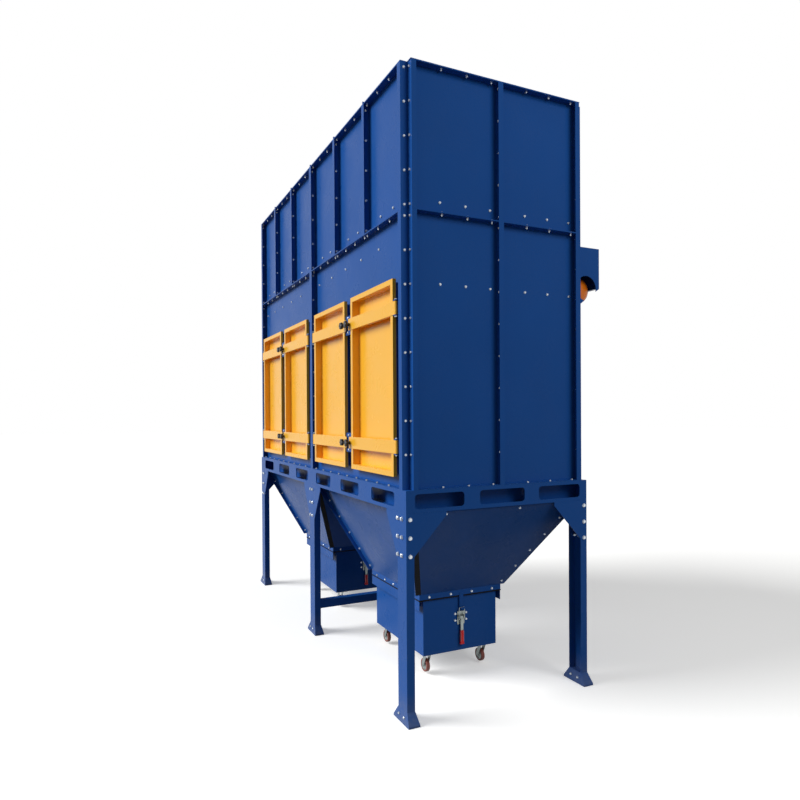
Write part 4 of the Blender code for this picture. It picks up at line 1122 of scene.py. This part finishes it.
class COLLECTOR_OT_latch_grips(bpy.types.Operator):
    """Dip the latch levers' ends in red vinyl"""

    bl_idname = "collector.latch_grips"
    bl_label = "Latch grips"

    def execute(self, context):
        for name in sorted(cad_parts):
            if not name.startswith("latch_lever"):
                continue
            low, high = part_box(name)
            bay = BAY_MIDDLE if "near" in name else -BAY_MIDDLE
            end = 1 if (low.x + high.x) / 2 > bay else -1
            middle = high.x - GRIP_INSET if end > 0 else low.x + GRIP_INSET
            rings = []
            for height, half_x, half_y, corner in GRIP_RINGS:
                ring = []
                for step in range(GRIP_STEPS):
                    angle = 2 * math.pi * step / GRIP_STEPS
                    x = math.copysign(half_x - corner, math.cos(angle)) + corner * math.cos(angle)
                    y = math.copysign(half_y - corner, math.sin(angle)) + corner * math.sin(angle)
                    ring.append(Vector((middle + x, MID_Y + y, low.z + height)))
                rings.append(ring)
            bm = bmesh.new()
            loft(bm, rings)
            tag = name.removeprefix("latch_lever_")
            finished(f"latch_grip_{tag}", bm, "red_vinyl_dip", name, sharp=50)
        return {"FINISHED"}


class COLLECTOR_OT_door_seals(bpy.types.Operator):
    """Stick a foam strip behind each door, on its collar's line"""

    bl_idname = "collector.door_seals"
    bl_label = "Door seals"

    def execute(self, context):
        half = context.scene.collector_seal.width / 2
        by_wall = FRONT_Y + FLANGE - COLLAR_OUT - GAP
        by_door = FRONT_Y + FLANGE - DOOR_FACE + SHEET + GAP
        section = (
            (-half, by_door),
            (-half, by_wall - SEAL_ROUND),
            (SEAL_ROUND - half, by_wall),
            (half - SEAL_ROUND, by_wall),
            (half, by_wall - SEAL_ROUND),
            (half, by_door),
        )
        for number in range(1, 5):
            door = f"access_door_{number}"
            low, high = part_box(door)
            bay = BAY_MIDDLE if number < 3 else -BAY_MIDDLE
            side = 1 if number % 2 else -1
            left, right = sorted((bay + side * DOOR_SPACE, bay + side * (DOOR_SPACE + DOOR_WIDTH)))
            bm = bmesh.new()
            rows = []
            for way_x, way_z in CORNERS:
                x = left + COLLAR_INSET if way_x < 0 else right - COLLAR_INSET
                z = low.z + COLLAR_INSET if way_z < 0 else high.z - COLLAR_INSET
                rows.append([bm.verts.new((x + way_x * a, y, z + way_z * a)) for a, y in section])
            skin(bm, rows)
            finished(f"door_seal_{number}", bm, "black_foam_seal", door)
        return {"FINISHED"}


class COLLECTOR_OT_bin_seals(bpy.types.Operator):
    """Lay a foam strip between each hopper's mouth and its bin's rim"""

    bl_idname = "collector.bin_seals"
    bl_label = "Bin seals"

    def execute(self, context):
        thickness = context.scene.collector_seal.bin_thickness
        for bay, middle in BAYS:
            bm = bmesh.new()
            rows = []
            for way_x, way_y in CORNERS:
                row = []
                for step in range(SEAL_STEPS + 1):
                    angle = math.pi * (step / SEAL_STEPS - 0.5)
                    out = GAP + SEAL_BULGE * math.cos(angle)
                    x = middle + way_x * (MOUTH_HALF_LENGTH + out)
                    y = MID_Y + way_y * (MOUTH_HALF_WIDTH + out)
                    row.append(bm.verts.new((x, y, MOUTH_Z + thickness / 2 * math.sin(angle))))
                rows.append(row)
            skin(bm, rows)
            finished(f"bin_seal_{bay}", bm, "black_foam_seal", "root")
        return {"FINISHED"}


def cartridge_tree():
    """At each point a pleated sleeve, whose every other corner is pulled in."""
    sockets = (("Pleats", "Int"), ("Radius", "Float"), ("Pleat depth", "Float"), ("Length", "Float"))
    tree, given = new_tree("pleated_sleeves", sockets)
    corners = maths(tree, "MULTIPLY", given["Pleats"], 2.0)
    inputs = {"Vertices": corners, "Radius": given["Radius"], "Depth": given["Length"]}
    sleeve = add_node(tree, "GeometryNodeMeshCylinder", inputs, fill_type="NGON").outputs["Mesh"]
    parity = maths(tree, "MODULO", add_node(tree, "GeometryNodeInputIndex").outputs[0], 2.0)
    share = maths(tree, "DIVIDE", given["Pleat depth"], given["Radius"])
    back = maths(tree, "MULTIPLY", maths(tree, "MULTIPLY", parity, share), -1.0)
    inputs = {0: add_node(tree, "GeometryNodeInputPosition").outputs[0], 1: (1.0, 1.0, 0.0)}
    flat = add_node(tree, "ShaderNodeVectorMath", inputs, operation="MULTIPLY").outputs[0]
    inputs = {0: flat, "Scale": back}
    offset = add_node(tree, "ShaderNodeVectorMath", inputs, operation="SCALE").outputs[0]
    inputs = {"Geometry": sleeve, "Offset": offset}
    spread(tree, given, add_node(tree, "GeometryNodeSetPosition", inputs).outputs[0])
    return tree


class COLLECTOR_OT_filters(bpy.types.Operator):
    """Hang the pleated cartridges from their tube sheets"""

    bl_idname = "collector.filters"
    bl_label = "Filter cartridges"

    def execute(self, context):
        given = context.scene.collector_filter
        cap = given.cap_height
        tree = cartridge_tree()
        for bay in ("near", "far"):
            node = f"filter_bank_{bay}"
            low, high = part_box(node)
            centre = (low + high) / 2
            bottom = low.z + cap
            top = high.z - TUBE_SHEET - cap
            places = []
            for column, row in product(range(CARTRIDGE_COLUMNS), range(CARTRIDGE_ROWS)):
                x = centre.x + (column - (CARTRIDGE_COLUMNS - 1) / 2) * CARTRIDGE_PITCH
                y = centre.y + (row - (CARTRIDGE_ROWS - 1) / 2) * CARTRIDGE_PITCH
                places.append(Vector((x, y, 0)))
            mesh = bpy.data.meshes.new("cartridge_points")
            mesh.from_pydata([place + Vector((0, 0, (bottom + top) / 2)) for place in places], [], [])
            values = {
                "Pleats": given.pleats,
                "Radius": CARTRIDGE_RADIUS,
                "Pleat depth": given.pleat_depth,
                "Length": top - bottom + CARTRIDGE_LAP,
                "Finish": bpy.data.materials["polyester_media"],
            }
            mesh = grown("cartridge_media", mesh, tree, values)
            name = f"cartridge_media_{bay}"
            placed(name, mesh, "polyester_media", "root", (node,), sharp=20)
            caps = bmesh.new()
            for place, (height, way) in product(places, ((bottom, -1), (top, 1))):
                profile = [(r, way * (cap - drop)) for r, drop in CAP_OUTSIDE]
                profile += CAP_RIM
                profile += [(r, way * (cap - drop)) for r, drop in CAP_INSIDE]
                seat = Matrix.Translation(place + Vector((0, 0, height)))
                revolve(caps, profile, CAP_STEPS, seat)
            finished(f"cartridge_caps_{bay}", caps, "galvanised_steel", "root", (node,))
            bm = bmesh.new()
            corners = [(low.x, low.y), (high.x, low.y), (high.x, high.y), (low.x, high.y)]
            plate(bm, [(x, y, high.z) for x, y in corners], TUBE_SHEET)
            middle, foot = high.z - TUBE_SHEET / 2, high.z - FLANGE
            for start, end in zip(corners, corners[1:] + corners[:1]):
                outline = [(*start, middle), (*start, foot), (*end, foot), (*end, middle)]
                plate(bm, outline, TUBE_SHEET)
            finished(f"tube_sheet_{bay}", bm, "blue_powder_coat", "root", (node,))
        return {"FINISHED"}


class COLLECTOR_OT_header_ends(bpy.types.Operator):
    """Close the compressed-air header with dished ends"""

    bl_idname = "collector.header_ends"
    bl_label = "Header ends"

    def execute(self, context):
        low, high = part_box("air_header")
        radius = (high.z - low.z) / 2
        bm = bmesh.new()
        for end, x in ((1, high.x), (-1, low.x)):
            centre = Vector((x, (low.y + high.y) / 2, (low.z + high.z) / 2))
            place = Matrix.Translation(centre) @ Matrix.Rotation(end * math.pi / 2, 4, "Y")
            rings = [circle(radius, -DISH_LAP, DISH_STEPS)]
            for share in DISH_RINGS:
                height = DISH_DEPTH * math.sqrt(1 - share * share)
                rings.append(circle(radius * share, height, DISH_STEPS))
            loft(bm, [[place @ point for point in ring] for ring in rings])
        finished("header_ends", bm, "orange_powder_coat", "root")
        return {"FINISHED"}


def lamp(name, kind, power, way):
    """A light that shines from the way given."""
    light = bpy.data.objects.new(name, bpy.data.lights.new(name, kind))
    light.data.energy = power
    light.rotation_mode = "QUATERNION"
    light.rotation_quaternion = Vector(way).to_track_quat("Z", "Y")
    bpy.context.scene.collection.objects.link(light)
    return light


def by_view(tree, unseen, seen):
    """One of two shaders, by whether a view or a reflection of it meets the surface."""
    path = add_node(tree, "ShaderNodeLightPath").outputs
    either = maths(tree, "MAXIMUM", path["Is Camera Ray"], path["Is Glossy Ray"])
    share = maths(tree, "MAXIMUM", either, path["Is Transmission Ray"])
    return add_node(tree, "ShaderNodeMixShader", {0: share, 1: unseen, 2: seen}).outputs[0]


class COLLECTOR_OT_stage(bpy.types.Operator):
    """Set the camera, floor, background and light"""

    bl_idname = "collector.stage"
    bl_label = "Stage"

    def execute(self, context):
        given = context.scene.collector_stage
        scene = context.scene
        scene.view_settings.view_transform = "Standard"
        camera = bpy.data.objects.new("camera", bpy.data.cameras.new("camera"))
        camera.location = CAMERA_PLACE
        camera.rotation_euler = [math.radians(angle) for angle in CAMERA_TURN]
        camera.data.sensor_width = SENSOR
        camera.data.lens = given.lens
        camera.data.shift_x, camera.data.shift_y = CAMERA_SHIFT
        camera.data.clip_end = VIEW_DEPTH
        scene.collection.objects.link(camera)
        scene.camera = camera
        key = lamp("key_light", "SUN", given.key, KEY_WAY)
        key.data.angle = math.radians(KEY_SOFTNESS)
        fill = lamp("fill_light", "AREA", given.fill, FILL_WAY)
        fill.data.size = FILL_SIZE
        fill.location = FILL_PLACE
        fill.visible_camera = False
        fill.visible_glossy = False
        bm = bmesh.new()
        bmesh.ops.create_grid(bm, x_segments=1, y_segments=1, size=FLOOR_REACH)
        mesh = bpy.data.meshes.new("floor")
        bm.to_mesh(mesh)
        bm.free()
        floor = bpy.data.objects.new("floor", mesh)
        scene.collection.objects.link(floor)
        mesh.materials.append(self.floor_material())
        self.backdrop(scene, given.ambience)
        return {"FINISHED"}

    def floor_material(self):
        """Pale painted floor with a light shadow, that throws little light back up."""
        material, tree, _ = new_material("pale_floor")
        dim = add_node(tree, "ShaderNodeBsdfDiffuse", {"Color": shade(linear("626262"), 1)})
        pale = add_node(tree, "ShaderNodeBsdfDiffuse", {"Color": shade(linear("F4F4F2"), 1)})
        glow = add_node(tree, "ShaderNodeEmission", {"Strength": FLOOR_GLOW})
        both = add_node(tree, "ShaderNodeAddShader", {0: pale.outputs[0], 1: glow.outputs[0]})
        surface = by_view(tree, dim.outputs[0], both.outputs[0])
        add_node(tree, "ShaderNodeOutputMaterial", {"Surface": surface})
        return material

    def backdrop(self, scene, ambience):
        """White where it is seen, and an even soft light elsewhere."""
        world = bpy.data.worlds.new("studio")
        world.use_nodes = True
        scene.world = world
        tree = world.node_tree
        tree.nodes.clear()
        lights = []
        for strength in (ambience, 1.0):
            inputs = {"Color": (1, 1, 1, 1), "Strength": strength}
            lights.append(add_node(tree, "ShaderNodeBackground", inputs).outputs[0])
        add_node(tree, "ShaderNodeOutputWorld", {"Surface": by_view(tree, *lights)})


OPERATORS = (
    COLLECTOR_OT_stage,
    COLLECTOR_OT_finishes,
    COLLECTOR_OT_fasteners,
    COLLECTOR_OT_hopper_seams,
    COLLECTOR_OT_seam_shade_strips,
    COLLECTOR_OT_latch_plates,
    COLLECTOR_OT_frame_plates,
    COLLECTOR_OT_knobs,
    COLLECTOR_OT_castors,
    COLLECTOR_OT_latch_grips,
    COLLECTOR_OT_door_seals,
    COLLECTOR_OT_bin_seals,
    COLLECTOR_OT_filters,
    COLLECTOR_OT_header_ends,
)
SETTINGS = {
    "collector_finish": FinishSettings,
    "collector_fastener": FastenerSettings,
    "collector_knob": KnobSettings,
    "collector_castor": CastorSettings,
    "collector_filter": FilterSettings,
    "collector_seal": SealSettings,
    "collector_stage": StageSettings,
}


class COLLECTOR_PT_panel(bpy.types.Panel):
    """Dust collector pieces"""

    bl_label = "Dust collector"
    bl_space_type = "VIEW_3D"
    bl_region_type = "UI"
    bl_category = "Dust collector"

    def draw(self, context):
        for group in SETTINGS:
            box = self.layout.box()
            for name in SETTINGS[group].__annotations__:
                box.prop(getattr(context.scene, group), name)
        for operator in OPERATORS:
            self.layout.operator(operator.bl_idname)


def register():
    for group, kind in SETTINGS.items():
        bpy.utils.register_class(kind)
        setattr(bpy.types.Scene, group, PointerProperty(type=kind))
    for operator in OPERATORS:
        bpy.utils.register_class(operator)
    bpy.utils.register_class(COLLECTOR_PT_panel)


def unregister():
    bpy.utils.unregister_class(COLLECTOR_PT_panel)
    for operator in reversed(OPERATORS):
        bpy.utils.unregister_class(operator)
    for group, kind in reversed(SETTINGS.items()):
        delattr(bpy.types.Scene, group)
        bpy.utils.unregister_class(kind)


def main():
    register()
    for operator in OPERATORS:
        group, name = operator.bl_idname.split(".")
        getattr(getattr(bpy.ops, group), name)()


if __name__ == "__main__":
    main()
